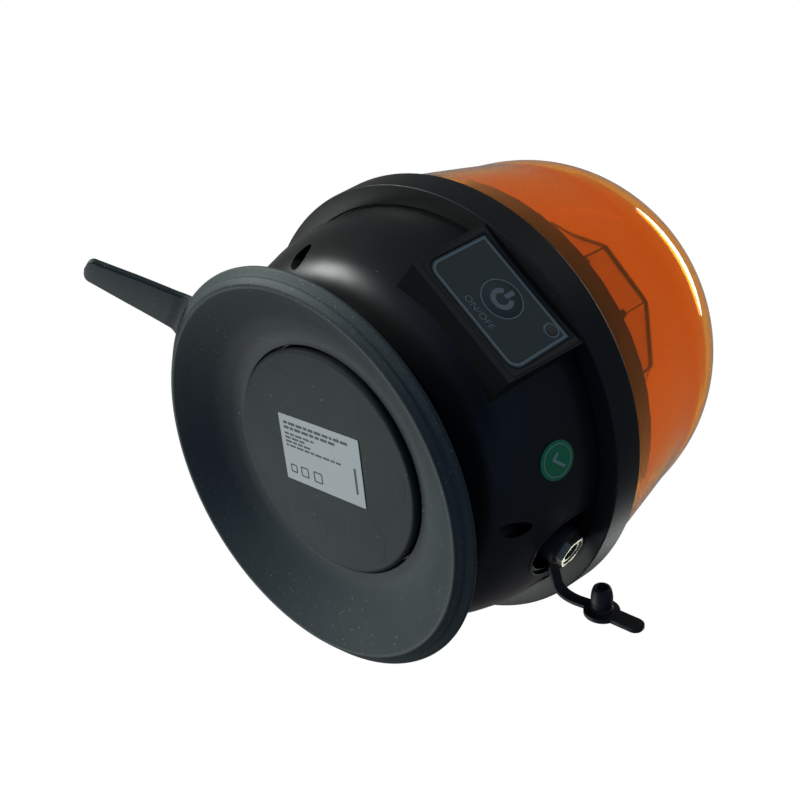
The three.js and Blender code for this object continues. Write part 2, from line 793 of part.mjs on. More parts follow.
addPart('battery_tray', traySolid(), colours.blackMatt);
addPart('battery_cell_1', cellSolid(1), colours.cell);
addPart('battery_cell_2', cellSolid(-1), colours.cell);
addPart('battery_clamp', clampSolid(), colours.blackMatt);
[-28, 28].forEach((x, i) => {
  const screw = smallScrew(trayDeck + gap, 2.4, 1.6, 1.1, 7).translate([x, 0, 0]);
  addPart(`tray_screw_${i + 1}`, screw, colours.steel);
});
screwAzimuths.forEach((azimuth, i) => {
  addPart(`housing_screw_${i + 1}`, placed(housingScrewSolid(), screwPlace(i)), colours.steel);
});

addPart('switch_membrane', membraneSolid(), colours.film);
addPart('power_button', onPanel(disc(buttonRadius, -0.5, 0, 40), 0, buttonUp), colours.film);
addPart('button_actuator', actuatorSolid(), colours.whiteBoard);
addPart('tact_switch', tactSwitchSolid(), colours.blackMatt);
addPart('switch_board', switchBoardSolid(), colours.board);
addPart('indicator_lens', indicatorSolid(), colours.clear);

addPart('jack_barrel', jackBarrelSolid(), colours.nickel);
addPart('jack_body', jackBodySolid(), colours.blackMatt);
addPart('jack_pin', jackPinSolid(), colours.nickel);
addPart('jack_nut', jackNutSolid(), colours.nickel);
addPart('cap_tether', tetherSolid(), colours.rubber);
addPart('dust_cap', capSolid(), colours.rubber);
addPart('check_sticker', stickerSolid(), colours.green);
addPart('jack_lead', jackLeadSolid(), colours.red);
addPart('battery_lead', batteryLeadSolid(), colours.red);
addPart('switch_lead', switchLeadSolid(), colours.blackMatt);

export default beacon;
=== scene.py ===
import json
import math

import bmesh
import bpy
import numpy as np
from mathutils import Matrix, Vector

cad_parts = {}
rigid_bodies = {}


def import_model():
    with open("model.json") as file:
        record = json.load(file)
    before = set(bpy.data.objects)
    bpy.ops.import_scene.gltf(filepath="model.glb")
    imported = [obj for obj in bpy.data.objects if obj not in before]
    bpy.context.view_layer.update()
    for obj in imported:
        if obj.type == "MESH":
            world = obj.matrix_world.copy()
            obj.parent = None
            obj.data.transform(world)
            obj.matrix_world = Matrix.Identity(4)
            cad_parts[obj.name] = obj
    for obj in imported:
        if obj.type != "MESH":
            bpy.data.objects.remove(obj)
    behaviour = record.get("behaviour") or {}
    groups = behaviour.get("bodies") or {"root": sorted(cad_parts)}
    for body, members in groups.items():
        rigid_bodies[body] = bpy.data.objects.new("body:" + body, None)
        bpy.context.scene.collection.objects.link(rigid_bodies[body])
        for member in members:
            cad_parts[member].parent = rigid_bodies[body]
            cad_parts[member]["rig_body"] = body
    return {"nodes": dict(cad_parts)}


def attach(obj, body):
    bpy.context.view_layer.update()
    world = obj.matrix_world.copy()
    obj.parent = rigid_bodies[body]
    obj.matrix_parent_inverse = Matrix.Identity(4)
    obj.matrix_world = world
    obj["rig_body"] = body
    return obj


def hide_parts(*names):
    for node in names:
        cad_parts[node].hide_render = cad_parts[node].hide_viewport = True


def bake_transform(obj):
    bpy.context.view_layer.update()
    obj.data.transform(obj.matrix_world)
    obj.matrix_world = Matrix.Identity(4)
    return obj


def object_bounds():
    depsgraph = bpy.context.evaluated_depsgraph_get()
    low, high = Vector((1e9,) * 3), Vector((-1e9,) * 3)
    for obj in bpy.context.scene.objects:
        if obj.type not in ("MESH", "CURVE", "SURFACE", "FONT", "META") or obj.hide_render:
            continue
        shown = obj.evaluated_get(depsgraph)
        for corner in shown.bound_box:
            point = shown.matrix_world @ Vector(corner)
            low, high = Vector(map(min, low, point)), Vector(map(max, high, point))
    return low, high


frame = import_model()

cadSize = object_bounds()
scene = bpy.context.scene
nodes = frame["nodes"]
mm = 0.001
seam = 46.5  # underside of the lens ring, in mm above the pad face
print("frame loaded:", len(nodes), "nodes")


# surfaces from grids of points

def gridFaces(rows, columns, loopRows, loopColumns):
    # each face joins four neighbours of the grid, and a looped direction joins its end to its start
    i, j = np.meshgrid(
        np.arange(rows if loopRows else rows - 1),
        np.arange(columns if loopColumns else columns - 1),
        indexing="ij",
    )
    nextI, nextJ = (i + 1) % rows, (j + 1) % columns
    corners = [i * columns + j, i * columns + nextJ, nextI * columns + nextJ, nextI * columns + j]
    return np.stack(corners, -1).reshape(-1, 4)


def tidyMesh(mesh, crease):
    # poles are merged, normals turned outwards, and only corners sharper than the crease stay sharp
    work = bmesh.new()
    work.from_mesh(mesh)
    bmesh.ops.remove_doubles(work, verts=work.verts, dist=1e-6)
    bmesh.ops.dissolve_degenerate(work, edges=work.edges, dist=1e-7)
    bmesh.ops.recalc_face_normals(work, faces=work.faces)
    work.to_mesh(mesh)
    work.free()
    mesh.shade_smooth()
    mesh.set_sharp_from_angle(angle=math.radians(crease))


def surfacePiece(name, grid, material, loopRows=False, loopColumns=True, crease=40):
    rows, columns = grid.shape[:2]
    mesh = bpy.data.meshes.new(name)
    faces = gridFaces(rows, columns, loopRows, loopColumns)
    mesh.from_pydata((grid.reshape(-1, 3) * mm).tolist(), [], faces.tolist())
    tidyMesh(mesh, crease)
    mesh.materials.append(material)
    piece = bpy.data.objects.new(name, mesh)
    scene.collection.objects.link(piece)
    return piece


def unit(vectors):
    # each row brought to length one
    return vectors / np.linalg.norm(vectors, axis=1, keepdims=True)


def lengthAlong(points):
    # distance from the first point to each point along the line through them
    return np.concatenate([[0], np.cumsum(np.linalg.norm(np.diff(points, axis=0), axis=1))])


def splined(points, count):
    # cubic through the points: between two of them it blends their places and their mean slopes
    p = np.asarray(points, float)
    s = lengthAlong(p)
    slope = np.gradient(p, s, axis=0)
    at = np.linspace(0, s[-1], count)
    k = np.clip(np.searchsorted(s, at, side="right") - 1, 0, len(s) - 2)
    h = (s[k + 1] - s[k])[:, None]
    t = (at - s[k])[:, None] / h
    start = (1 + 2 * t) * (1 - t) ** 2 * p[k] + t * (1 - t) ** 2 * h * slope[k]
    end = t * t * (3 - 2 * t) * p[k + 1] + t * t * (t - 1) * h * slope[k + 1]
    return start + end


def softened(points, radius, steps=5):
    # each corner of a closed outline becomes a parabola that leaves along one side and lands on the next
    p = np.asarray(points, float)
    back, ahead = np.roll(p, 1, 0) - p, np.roll(p, -1, 0) - p
    backLength = np.linalg.norm(back, axis=1, keepdims=True)
    aheadLength = np.linalg.norm(ahead, axis=1, keepdims=True)
    cut = np.minimum(np.broadcast_to(np.asarray(radius, float), len(p))[:, None],
                     0.45 * np.minimum(backLength, aheadLength))
    first, last = p + back / backLength * cut, p + ahead / aheadLength * cut
    t = np.linspace(0, 1, steps)[:, None, None]
    curve = (1 - t) ** 2 * first + 2 * t * (1 - t) * p + t * t * last
    return curve.transpose(1, 0, 2).reshape(-1, 2)


def turned(outline, steps=240):
    # the outline's radius goes round the axis, its height stays
    o = np.asarray(outline, float)
    angle = np.linspace(0, 2 * np.pi, steps, endpoint=False)[None, :]
    r, z = o[:, :1], o[:, 1:]
    return np.stack([r * np.cos(angle), r * np.sin(angle), z + 0 * angle], -1)


def cornerLoop(width, height, corners, arc=7):
    # four quarter circles joined by straight sides, corners from lower right round to lower left
    parts = []
    for k, radius in enumerate(corners):
        sx, sy = (1, 1, -1, -1)[k], (-1, 1, 1, -1)[k]
        angle = np.radians(np.linspace(-90, 0, arc) + 90 * k)
        x = sx * (width / 2 - radius) + radius * np.cos(angle)
        y = sy * (height / 2 - radius) + radius * np.sin(angle)
        parts.append(np.stack([x, y], -1))
    return np.concatenate(parts)


def evenLoop(loop, count):
    # the same closed outline with its points spread evenly along it
    closed = np.concatenate([loop, loop[:1]])
    along = lengthAlong(closed)
    at = np.linspace(0, along[-1], count, endpoint=False)
    return np.stack([np.interp(at, along, closed[:, k]) for k in (0, 1)], -1)


def lofted(loops, heights):
    # loops of (across, up) at their heights, closed at both ends by a point in their middle
    rows = [np.column_stack([loop, np.broadcast_to(h, len(loop))]) for loop, h in zip(loops, heights)]
    return capped(np.stack(rows))


def capped(grid, axis=0):
    # both ends of the grid closed by a point in their middle
    first, last = (np.take(grid, [k], axis) for k in (0, -1))
    ends = [np.broadcast_to(row.mean(1 - axis, keepdims=True), row.shape) for row in (first, last)]
    return np.concatenate([ends[0], grid, ends[1]], axis)


def placeBy(grid, across, up, out, origin):
    # local (across, up, out) turned into the row frame
    axes = np.array([across, up, out], float)
    return grid @ axes + np.asarray(origin, float)


def swept(path, section, side):
    # the section's x follows side and its y the path's own normal
    p = np.asarray(path, float)
    normal = unit(np.cross(np.asarray(side, float), unit(np.gradient(p, axis=0))))
    x, y = section[None, :, 0, None], section[None, :, 1, None]
    return capped(p[:, None] + x * np.asarray(side, float) + y * normal[:, None])


def cleanCopy(name, material, crease=38, bevel=0.0):
    # a merged copy of a CAD piece, so that its round faces shade round and its edges catch light
    mesh = nodes[name].data.copy()
    mesh.name = name + "Clean"
    work = bmesh.new()
    work.from_mesh(mesh)
    bmesh.ops.remove_doubles(work, verts=work.verts, dist=1e-6)
    bmesh.ops.dissolve_limit(
        work, angle_limit=math.radians(1), use_dissolve_boundaries=False, verts=work.verts, edges=work.edges
    )
    work.to_mesh(mesh)
    work.free()
    mesh.shade_smooth()
    mesh.set_sharp_from_angle(angle=math.radians(crease))
    mesh.materials.clear()
    mesh.materials.append(material)
    piece = bpy.data.objects.new(name + "_clean", mesh)
    scene.collection.objects.link(piece)
    if bevel:
        edge = piece.modifiers.new("edge", "BEVEL")
        edge.width = bevel * mm
        edge.segments = 2
        edge.limit_method = "ANGLE"
        edge.angle_limit = math.radians(crease)
        edge.use_clamp_overlap = True
        edge.harden_normals = True
    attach(piece, nodes[name]["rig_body"])
    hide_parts(name)
    return piece


# shared surface effects

def newGroup(name, inputs, outputs):
    group = bpy.data.node_groups.new(name, "ShaderNodeTree")
    for label, kind, value in inputs:
        socket = group.interface.new_socket(label, in_out="INPUT", socket_type=kind)
        if value is not None:
            socket.default_value = value
    for label, kind in outputs:
        group.interface.new_socket(label, in_out="OUTPUT", socket_type=kind)
    start = group.nodes.new("NodeGroupInput")
    end = group.nodes.new("NodeGroupOutput")
    return group, start, end


def addMath(tree, operation, first, second=None, clamp=False):
    node = tree.nodes.new("ShaderNodeMath")
    node.operation = operation
    node.use_clamp = clamp
    for socket, value in zip(node.inputs, (first, second)):
        if value is None:
            continue
        if isinstance(value, (int, float)):
            socket.default_value = value
        else:
            tree.links.new(value, socket)
    return node.outputs[0]


def addNoise(tree, vector, scale, detail=4.0, roughness=0.55):
    node = tree.nodes.new("ShaderNodeTexNoise")
    node.inputs["Detail"].default_value = detail
    node.inputs["Roughness"].default_value = roughness
    tree.links.new(vector, node.inputs["Vector"])
    if isinstance(scale, (int, float)):
        node.inputs["Scale"].default_value = scale
    else:
        tree.links.new(scale, node.inputs["Scale"])
    return node.outputs["Fac"]


def addRange(tree, value, low, high, toLow=0.0, toHigh=1.0, smooth=False):
    node = tree.nodes.new("ShaderNodeMapRange")
    node.interpolation_type = "SMOOTHSTEP" if smooth else "LINEAR"
    for label, number in (("From Min", low), ("From Max", high), ("To Min", toLow), ("To Max", toHigh)):
        if isinstance(number, (int, float)):
            node.inputs[label].default_value = number
        else:
            tree.links.new(number, node.inputs[label])
    tree.links.new(value, node.inputs["Value"])
    return node.outputs["Result"]


def addMix(tree, factor, first, second):
    node = tree.nodes.new("ShaderNodeMix")
    node.data_type = "RGBA"
    for socket, value in ((node.inputs[0], factor), (node.inputs[6], first), (node.inputs[7], second)):
        if isinstance(value, (int, float)):
            socket.default_value = value
        elif isinstance(value, (tuple, list)):
            socket.default_value = (*value, 1) if len(value) == 3 else value
        else:
            tree.links.new(value, socket)
    return node.outputs[2]


def mouldedGroup():
    # broad patches shift the tone, fine grain roughens it, both feed one height
    group, start, end = newGroup(
        "mouldedSurface",
        [("Position", "NodeSocketVector", None), ("Patch Scale", "NodeSocketFloat", 40.0),
         ("Grain Scale", "NodeSocketFloat", 2200.0), ("Roughness", "NodeSocketFloat", 0.4),
         ("Spread", "NodeSocketFloat", 0.1)],
        [("Tone", "NodeSocketFloat"), ("Roughness", "NodeSocketFloat"), ("Height", "NodeSocketFloat")],
    )
    patch = addNoise(group, start.outputs["Position"], start.outputs["Patch Scale"], 5.0)
    grain = addNoise(group, start.outputs["Position"], start.outputs["Grain Scale"], 2.0)
    tone = addRange(group, addMath(group, "ADD", addMath(group, "MULTIPLY", patch, 0.6),
                                   addMath(group, "MULTIPLY", grain, 0.4)), 0.34, 0.66)
    swing = addMath(group, "MULTIPLY", addMath(group, "SUBTRACT", patch, 0.5), start.outputs["Spread"])
    fine = addMath(group, "MULTIPLY", addMath(group, "SUBTRACT", grain, 0.5), start.outputs["Spread"])
    rough = addMath(group, "ADD", addMath(group, "ADD", start.outputs["Roughness"], swing), fine, clamp=True)
    height = addMath(group, "ADD", grain, addMath(group, "MULTIPLY", patch, 0.6))
    group.links.new(tone, end.inputs["Tone"])
    group.links.new(rough, end.inputs["Roughness"])
    group.links.new(height, end.inputs["Height"])
    return group


def dustGroup():
    # cells whose random number is under the share carry a speck, and broad noise gathers the specks into
    # clumps
    group, start, end = newGroup(
        "dustSpecks",
        [("Position", "NodeSocketVector", None), ("Scale", "NodeSocketFloat", 500.0),
         ("Share", "NodeSocketFloat", 0.1), ("Size", "NodeSocketFloat", 0.25)],
        [("Mask", "NodeSocketFloat")],
    )
    cells = group.nodes.new("ShaderNodeTexVoronoi")
    group.links.new(start.outputs["Position"], cells.inputs["Vector"])
    group.links.new(start.outputs["Scale"], cells.inputs["Scale"])
    parts = group.nodes.new("ShaderNodeSeparateColor")
    group.links.new(cells.outputs["Color"], parts.inputs[0])
    chosen = addMath(group, "LESS_THAN", parts.outputs[0], start.outputs["Share"])
    reach = addMath(group, "MULTIPLY", start.outputs["Size"],
                    addRange(group, parts.outputs[1], 0, 1, 0.35, 1.3))
    near = addMath(group, "LESS_THAN", cells.outputs["Distance"], reach)
    clumps = addRange(group, addNoise(group, start.outputs["Position"], 45.0, 3.0), 0.36, 0.60, smooth=True)
    mask = addMath(group, "MULTIPLY", addMath(group, "MULTIPLY", chosen, near), clumps, clamp=True)
    group.links.new(mask, end.inputs["Mask"])
    return group


def brushedGroup():
    # noise squeezed along one direction makes fine turning marks
    group, start, end = newGroup(
        "turningMarks",
        [("Position", "NodeSocketVector", None), ("Roughness", "NodeSocketFloat", 0.25),
         ("Spread", "NodeSocketFloat", 0.12)],
        [("Tone", "NodeSocketFloat"), ("Roughness", "NodeSocketFloat"), ("Height", "NodeSocketFloat")],
    )
    stretch = group.nodes.new("ShaderNodeMapping")
    stretch.inputs["Scale"].default_value = (400, 400, 5200)
    group.links.new(start.outputs["Position"], stretch.inputs["Vector"])
    lines = addNoise(group, stretch.outputs["Vector"], 1.0, 3.0)
    stain = addNoise(group, start.outputs["Position"], 260.0, 4.0)
    swing = addMath(group, "MULTIPLY", addMath(group, "SUBTRACT", lines, 0.5), start.outputs["Spread"])
    rough = addMath(group, "ADD", start.outputs["Roughness"], swing, clamp=True)
    group.links.new(addRange(group, stain, 0.3, 0.7), end.inputs["Tone"])
    group.links.new(rough, end.inputs["Roughness"])
    group.links.new(lines, end.inputs["Height"])
    return group


moulded = mouldedGroup()
dust = dustGroup()
brushed = brushedGroup()


def startMaterial(name, metallic=0.0, ior=1.5):
    material = bpy.data.materials.new(name)
    material.use_nodes = True
    tree = material.node_tree
    shader = tree.nodes["Principled BSDF"]
    shader.inputs["Metallic"].default_value = metallic
    shader.inputs["IOR"].default_value = ior
    place = tree.nodes.new("ShaderNodeTexCoord").outputs["Object"]
    return material, tree, shader, place


def addGroup(tree, group, place, **values):
    node = tree.nodes.new("ShaderNodeGroup")
    node.node_tree = group
    tree.links.new(place, node.inputs["Position"])
    for label, value in values.items():
        node.inputs[label.replace("_", " ")].default_value = value
    return node


def addBump(tree, shader, height, strength, distance):
    bump = tree.nodes.new("ShaderNodeBump")
    bump.inputs["Strength"].default_value = strength
    bump.inputs["Distance"].default_value = distance * mm
    tree.links.new(height, bump.inputs["Height"])
    tree.links.new(bump.outputs["Normal"], shader.inputs["Normal"])


def plasticMaterial(name, look):
    # moulded plastic or rubber: two close tones, uneven gloss, fine grain and a little dust
    material, tree, shader, place = startMaterial(name)
    base = addGroup(tree, moulded, place, Patch_Scale=look.get("patch", 40.0),
                    Grain_Scale=look.get("grain", 2200.0), Roughness=look["roughness"],
                    Spread=look.get("spread", 0.1))
    color = addMix(tree, base.outputs["Tone"], look["color"], look["second"])
    if look.get("dust"):
        specks = addGroup(tree, dust, place, Scale=look.get("dustScale", 650.0),
                          Share=look["dust"], Size=look.get("dustSize", 0.22))
        color = addMix(tree, specks.outputs["Mask"], color, look.get("dustColor", (0.22, 0.23, 0.23)))
    tree.links.new(color, shader.inputs["Base Color"])
    tree.links.new(base.outputs["Roughness"], shader.inputs["Roughness"])
    if look.get("coat"):
        shader.inputs["Coat Weight"].default_value = look["coat"]
        shader.inputs["Coat Roughness"].default_value = 0.12
    addBump(tree, shader, base.outputs["Height"], look.get("bump", 0.15), look.get("depth", 0.05))
    return material


def metalMaterial(name, look):
    material, tree, shader, place = startMaterial(name, metallic=1.0)
    base = addGroup(tree, brushed, place, Roughness=look["roughness"], Spread=0.08)
    tree.links.new(addMix(tree, base.outputs["Tone"], look["color"], look["second"]),
                   shader.inputs["Base Color"])
    tree.links.new(base.outputs["Roughness"], shader.inputs["Roughness"])
    addBump(tree, shader, base.outputs["Height"], 0.03, 0.01)
    return material


def clearMaterial(name, look):
    # clear moulded plastic: colour deepens with each face that light passes, gloss slightly uneven
    material, tree, shader, place = startMaterial(name, ior=look["ior"])
    base = addGroup(tree, moulded, place, Patch_Scale=look.get("patch", 25.0), Grain_Scale=300.0,
                    Roughness=look["roughness"], Spread=0.02)
    color = addMix(tree, base.outputs["Tone"], look["color"], look["second"])
    tree.links.new(color, shader.inputs["Base Color"])
    tree.links.new(base.outputs["Roughness"], shader.inputs["Roughness"])
    shader.inputs["Transmission Weight"].default_value = look["clear"]
    shader.inputs["Specular IOR Level"].default_value = look.get("gloss", 0.5)
    addBump(tree, shader, base.outputs["Height"], 0.02, 0.05)
    return material


def finish(color, second, roughness, bump, **more):
    # two close tones, a roughness and the strength of the grain, then what only some finishes have
    return {"color": color, "second": second, "roughness": roughness, "bump": bump, **more}


finishes = {
    "housing": finish((0.0135, 0.0135, 0.0135), (0.0170, 0.0170, 0.0168), 0.36, 0.05, spread=0.06,
                      depth=0.02, dust=0.02, dustScale=420.0, dustSize=0.10),
    "ring": finish((0.0155, 0.0155, 0.0150), (0.0190, 0.0190, 0.0180), 0.42, 0.06, spread=0.08, depth=0.02,
                   dust=0.02, dustScale=420.0, dustSize=0.10),
    "innerBlack": finish((0.018, 0.016, 0.015), (0.028, 0.025, 0.022), 0.5, 0.1),
    "pad": finish((0.022, 0.030, 0.029), (0.031, 0.040, 0.038), 0.68, 0.3, spread=0.14, patch=60.0,
                  grain=1400.0, dust=0.10, dustScale=620.0, dustSize=0.18, dustColor=(0.16, 0.18, 0.175)),
    "cap": finish((0.018, 0.019, 0.021), (0.028, 0.029, 0.031), 0.5, 0.2, spread=0.12, patch=160.0,
                  dust=0.06, dustScale=900.0, dustSize=0.2),
    "seal": finish((0.02, 0.02, 0.02), (0.03, 0.03, 0.03), 0.7, 0.2),
    "film": finish((0.066, 0.088, 0.080), (0.074, 0.097, 0.088), 0.38, 0.12, spread=0.05, patch=90.0,
                   grain=3000.0, dust=0.02, dustScale=420.0, dustSize=0.12),
    "ink": finish((0.34, 0.39, 0.37), (0.38, 0.43, 0.41), 0.45, 0.1),
    "indicator": finish((0.045, 0.037, 0.033), (0.06, 0.05, 0.045), 0.2, 0.05),
    "label": finish((0.55, 0.59, 0.585), (0.61, 0.645, 0.64), 0.5, 0.12, spread=0.1, patch=120.0, dust=0.03,
                    dustColor=(0.25, 0.25, 0.25)),
    "labelInk": finish((0.055, 0.06, 0.06), (0.09, 0.095, 0.095), 0.55, 0.1),
    "sticker": finish((0.035, 0.40, 0.14), (0.042, 0.45, 0.165), 0.35, 0.1, spread=0.1, patch=200.0),
    "stickerInk": finish((0.55, 0.68, 0.58), (0.62, 0.74, 0.65), 0.45, 0.1),
    "circuit": finish((0.012, 0.11, 0.035), (0.02, 0.15, 0.05), 0.35, 0.2),
    "lampBoard": finish((0.55, 0.52, 0.42), (0.70, 0.66, 0.52), 0.35, 0.1, patch=300.0),
    "white": finish((0.7, 0.7, 0.68), (0.78, 0.78, 0.76), 0.4, 0.1),
    "cell": finish((0.02, 0.12, 0.35), (0.03, 0.15, 0.42), 0.3, 0.1, coat=0.4),
    "wireRed": finish((0.30, 0.015, 0.01), (0.36, 0.02, 0.015), 0.4, 0.1),
    "wireBlack": finish((0.015, 0.015, 0.015), (0.022, 0.022, 0.022), 0.4, 0.1),
}
paints = {name: plasticMaterial(name, look) for name, look in finishes.items()}
metalLooks = {
    "nickel": {"color": (0.62, 0.56, 0.42), "second": (0.72, 0.68, 0.56), "roughness": 0.28},
    "steel": {"color": (0.46, 0.45, 0.43), "second": (0.58, 0.57, 0.55), "roughness": 0.32},
    "magnet": {"color": (0.5, 0.5, 0.5), "second": (0.6, 0.6, 0.6), "roughness": 0.22},
}
metals = {name: metalMaterial(name, look) for name, look in metalLooks.items()}
amber = clearMaterial("amberDome", {"color": (0.76, 0.27, 0.020), "second": (0.78, 0.285, 0.026),
                                    "roughness": 0.04, "ior": 1.49, "clear": 1.0, "gloss": 0.35})
clearOptic = clearMaterial("clearOptic", {"color": (0.94, 0.90, 0.84), "second": (0.97, 0.94, 0.89),
                                          "roughness": 0.06, "ior": 1.45, "clear": 0.95, "patch": 60.0})


def rubberMaterial(name, look):
    # cup rubber: mottled grey with dust, and a paler powdery band outside the crest
    material, tree, shader, place = startMaterial(name)
    base = addGroup(tree, moulded, place, Patch_Scale=look["patch"], Grain_Scale=look["grain"],
                    Roughness=look["roughness"], Spread=look["spread"])
    color = addMix(tree, base.outputs["Tone"], look["color"], look["second"])
    flat = tree.nodes.new("ShaderNodeVectorMath")
    flat.operation = "MULTIPLY"
    flat.inputs[1].default_value = (1, 1, 0)
    tree.links.new(place, flat.inputs[0])
    radius = tree.nodes.new("ShaderNodeVectorMath")
    radius.operation = "LENGTH"
    tree.links.new(flat.outputs["Vector"], radius.inputs[0])
    edge = addMath(tree, "ADD", radius.outputs["Value"], addMath(
        tree, "MULTIPLY", addMath(tree, "SUBTRACT", addNoise(tree, place, 90.0), 0.5), 0.002))
    low, high = look["band"]
    band = addRange(tree, edge, low * mm, high * mm, smooth=True)
    powder = addRange(tree, addNoise(tree, place, 1500.0, 6.0, 0.7), 0.40, 0.66)
    color = addMix(tree, addMath(tree, "MULTIPLY", band, addRange(tree, powder, 0, 1, 0.25, 1.0)),
                   color, look["powder"])
    specks = addGroup(tree, dust, place, Scale=760.0, Share=look["dust"], Size=0.17)
    crumbs = addGroup(tree, dust, place, Scale=260.0, Share=look["dust"] * 0.35, Size=0.12)
    marks = addMath(tree, "MAXIMUM", specks.outputs["Mask"], crumbs.outputs["Mask"])
    tree.links.new(addMix(tree, marks, color, look["dustColor"]), shader.inputs["Base Color"])
    tree.links.new(base.outputs["Roughness"], shader.inputs["Roughness"])
    addBump(tree, shader, addMath(tree, "ADD", base.outputs["Height"], marks), look["bump"], 0.06)
    return material


cupRubber = rubberMaterial("cupRubber", {
    "color": (0.031, 0.043, 0.047), "second": (0.045, 0.059, 0.063), "powder": (0.075, 0.093, 0.087),
    "dustColor": (0.19, 0.215, 0.21), "roughness": 0.58, "spread": 0.16, "patch": 35.0, "grain": 1500.0,
    "band": (61.0, 62.0), "dust": 0.5, "bump": 0.3,
})
print("materials made:", len(bpy.data.materials))


# housing bowl

bowlShape = {
    # radius, depth below the ring
    "curve": [(68.3, 0), (68, 10), (67.4, 14), (66.6, 18), (65.4, 22), (63.9, 26),
              (62.2, 30), (59.8, 33.5), (56.4, 36.3), (52.4, 37.8), (48, 38.3)],
    "reach": 0.45,  # how far from the curve a face still counts as the outer wall
}
bowlDense = splined(bowlShape["curve"], 400)


def bowlRadius(z):
    # radius of the outer wall at a height above the pad face
    return np.interp(seam - z, bowlDense[:, 1], bowlDense[:, 0])


def smoothBowl():
    # corners on the turned outer wall take the wall's own normal, all others their face's
    piece = cleanCopy("housing_bowl", paints["housing"], crease=30)
    mesh = piece.data
    count = len(mesh.loops)
    corner = np.zeros(count, np.int32)
    mesh.loops.foreach_get("vertex_index", corner)
    points = np.zeros(len(mesh.vertices) * 3)
    mesh.vertices.foreach_get("co", points)
    points = points.reshape(-1, 3)[corner] / mm
    faceNormal = np.zeros(len(mesh.polygons) * 3)
    mesh.polygons.foreach_get("normal", faceNormal)
    sides = np.zeros(len(mesh.polygons), np.int32)
    mesh.polygons.foreach_get("loop_total", sides)
    normals = np.repeat(faceNormal.reshape(-1, 3), sides, axis=0)
    r = np.hypot(points[:, 0], points[:, 1])
    z = points[:, 2]
    slope = (bowlRadius(z + 0.4) - bowlRadius(z - 0.4)) / 0.8
    wall = unit(np.stack([points[:, 0] / np.maximum(r, 1), points[:, 1] / np.maximum(r, 1), -slope], -1))
    onWall = (np.abs(r - bowlRadius(z)) < bowlShape["reach"]) & ((wall * normals).sum(1) > 0.93)
    onWall &= (z < seam + 0.2) & (z > seam - 37.9)
    normals[onWall] = wall[onWall]
    mesh.normals_split_custom_set(normals.tolist())
    return piece


smoothBowl()


# switch panel

panel = {
    # lean in degrees, distance of the face, middle of the film
    "tilt": 5.8, "reach": 71.0, "down": 15.1,
    # half widths at the ring and at the foot, length of the face
    "halfTop": 22.5, "halfBase": 20.9, "drop": 30.66,
    "film": (38.5, 24.0),
    # how deep and how wide the edges are rounded
    "edge": 1.2, "sideEdge": 0.5, "footDeep": 2.6, "footEdge": 2.4,
}
lean = math.radians(panel["tilt"])
panelAxes = (
    (1, 0, 0),
    (0, -math.sin(lean), math.cos(lean)),
    (0, -math.cos(lean), -math.sin(lean)),
)
panelOrigin = (0, -panel["reach"], seam)


def onPanel(grid):
    return placeBy(grid, *panelAxes, panelOrigin)


def faceLoop(side, foot, top, drift=0.0, corner=0.7):
    # the block's face as a trapezium, drawn in by side, foot and top
    high = -0.32 - top - drift
    low = -panel["drop"] + foot - drift * 1.36
    loop = cornerLoop(2, high - low, (corner / 2, 0.05, 0.05, corner / 2))
    v = loop[:, 1] + (high + low) / 2
    share = np.clip(-v / panel["drop"], 0, 1.2)
    half = panel["halfTop"] + (panel["halfBase"] - panel["halfTop"]) * share - side
    return np.stack([loop[:, 0] * half, v], -1)


def panelBlock():
    # from the film's seat over the face, round its edge and back into the bowl
    width, height = panel["film"]
    seat = cornerLoop(width + 0.25, height + 0.25, (4.1, 0.35, 0.35, 4.1))
    lip = cornerLoop(width + 0.6, height + 0.6, (4.3, 0.5, 0.5, 4.3))
    shift = np.array([0, -panel["down"]])
    loops = [seat + shift, seat + shift, (seat + lip) / 2 + shift, lip + shift]
    heights = [-0.75, -0.16, 0.0, 0.06]
    turn = np.radians(np.linspace(0, 90, 7))
    for a in turn:
        out = 1 - math.sin(a)
        loops.append(faceLoop(panel["sideEdge"] * out - 0.06, panel["footEdge"] * out - 0.06, 0.3 * out))
        share = np.clip((-loops[-1][:, 1] - 20) / (panel["drop"] - 20), 0, 1)
        deep = panel["edge"] + (panel["footDeep"] - panel["edge"]) * share
        heights.append(0.06 - deep * (1 - math.cos(a)))
    for back in (3.0, 8.0, 17.0):
        loops.append(faceLoop(-0.06, -0.06, 0.0, drift=0.101 * back))
        heights.append(-panel["footDeep"] - 0.995 * back)
    return onPanel(lofted(loops, heights)[1:])


def filmPlate():
    # the printed film with its hole for the button, taken round by the same angles inside and out
    width, height = panel["film"]
    middle = np.array([0, button["up"]])
    outer = evenLoop(cornerLoop(width, height, (4.0, 0.25, 0.25, 4.0), arc=24), 360)
    angle = np.arctan2(outer[:, 1] - middle[1], outer[:, 0] - middle[0])
    hole = middle + (button["radius"] + 0.05) * np.stack([np.cos(angle), np.sin(angle)], -1)
    shift = np.array([0, -panel["down"]])
    inner = outer * np.array([(width - 0.2) / width, (height - 0.2) / height])
    loops = [hole, outer, outer, inner, hole]
    heights = [-0.5, -0.5, -0.08, 0.0, 0.0]
    rows = [np.column_stack([loop + shift, np.full(len(loop), h)]) for loop, h in zip(loops, heights)]
    return onPanel(np.stack(rows))


button = {"up": 1.5, "radius": 6.8, "icon": 3.6, "stroke": 1.55, "gap": 38.0}
prints = {"height": 0.035, "line": 0.75, "inset": 0.55, "ring": 0.42, "dot": (14.8, 8.2), "dotRadius": 2.0}


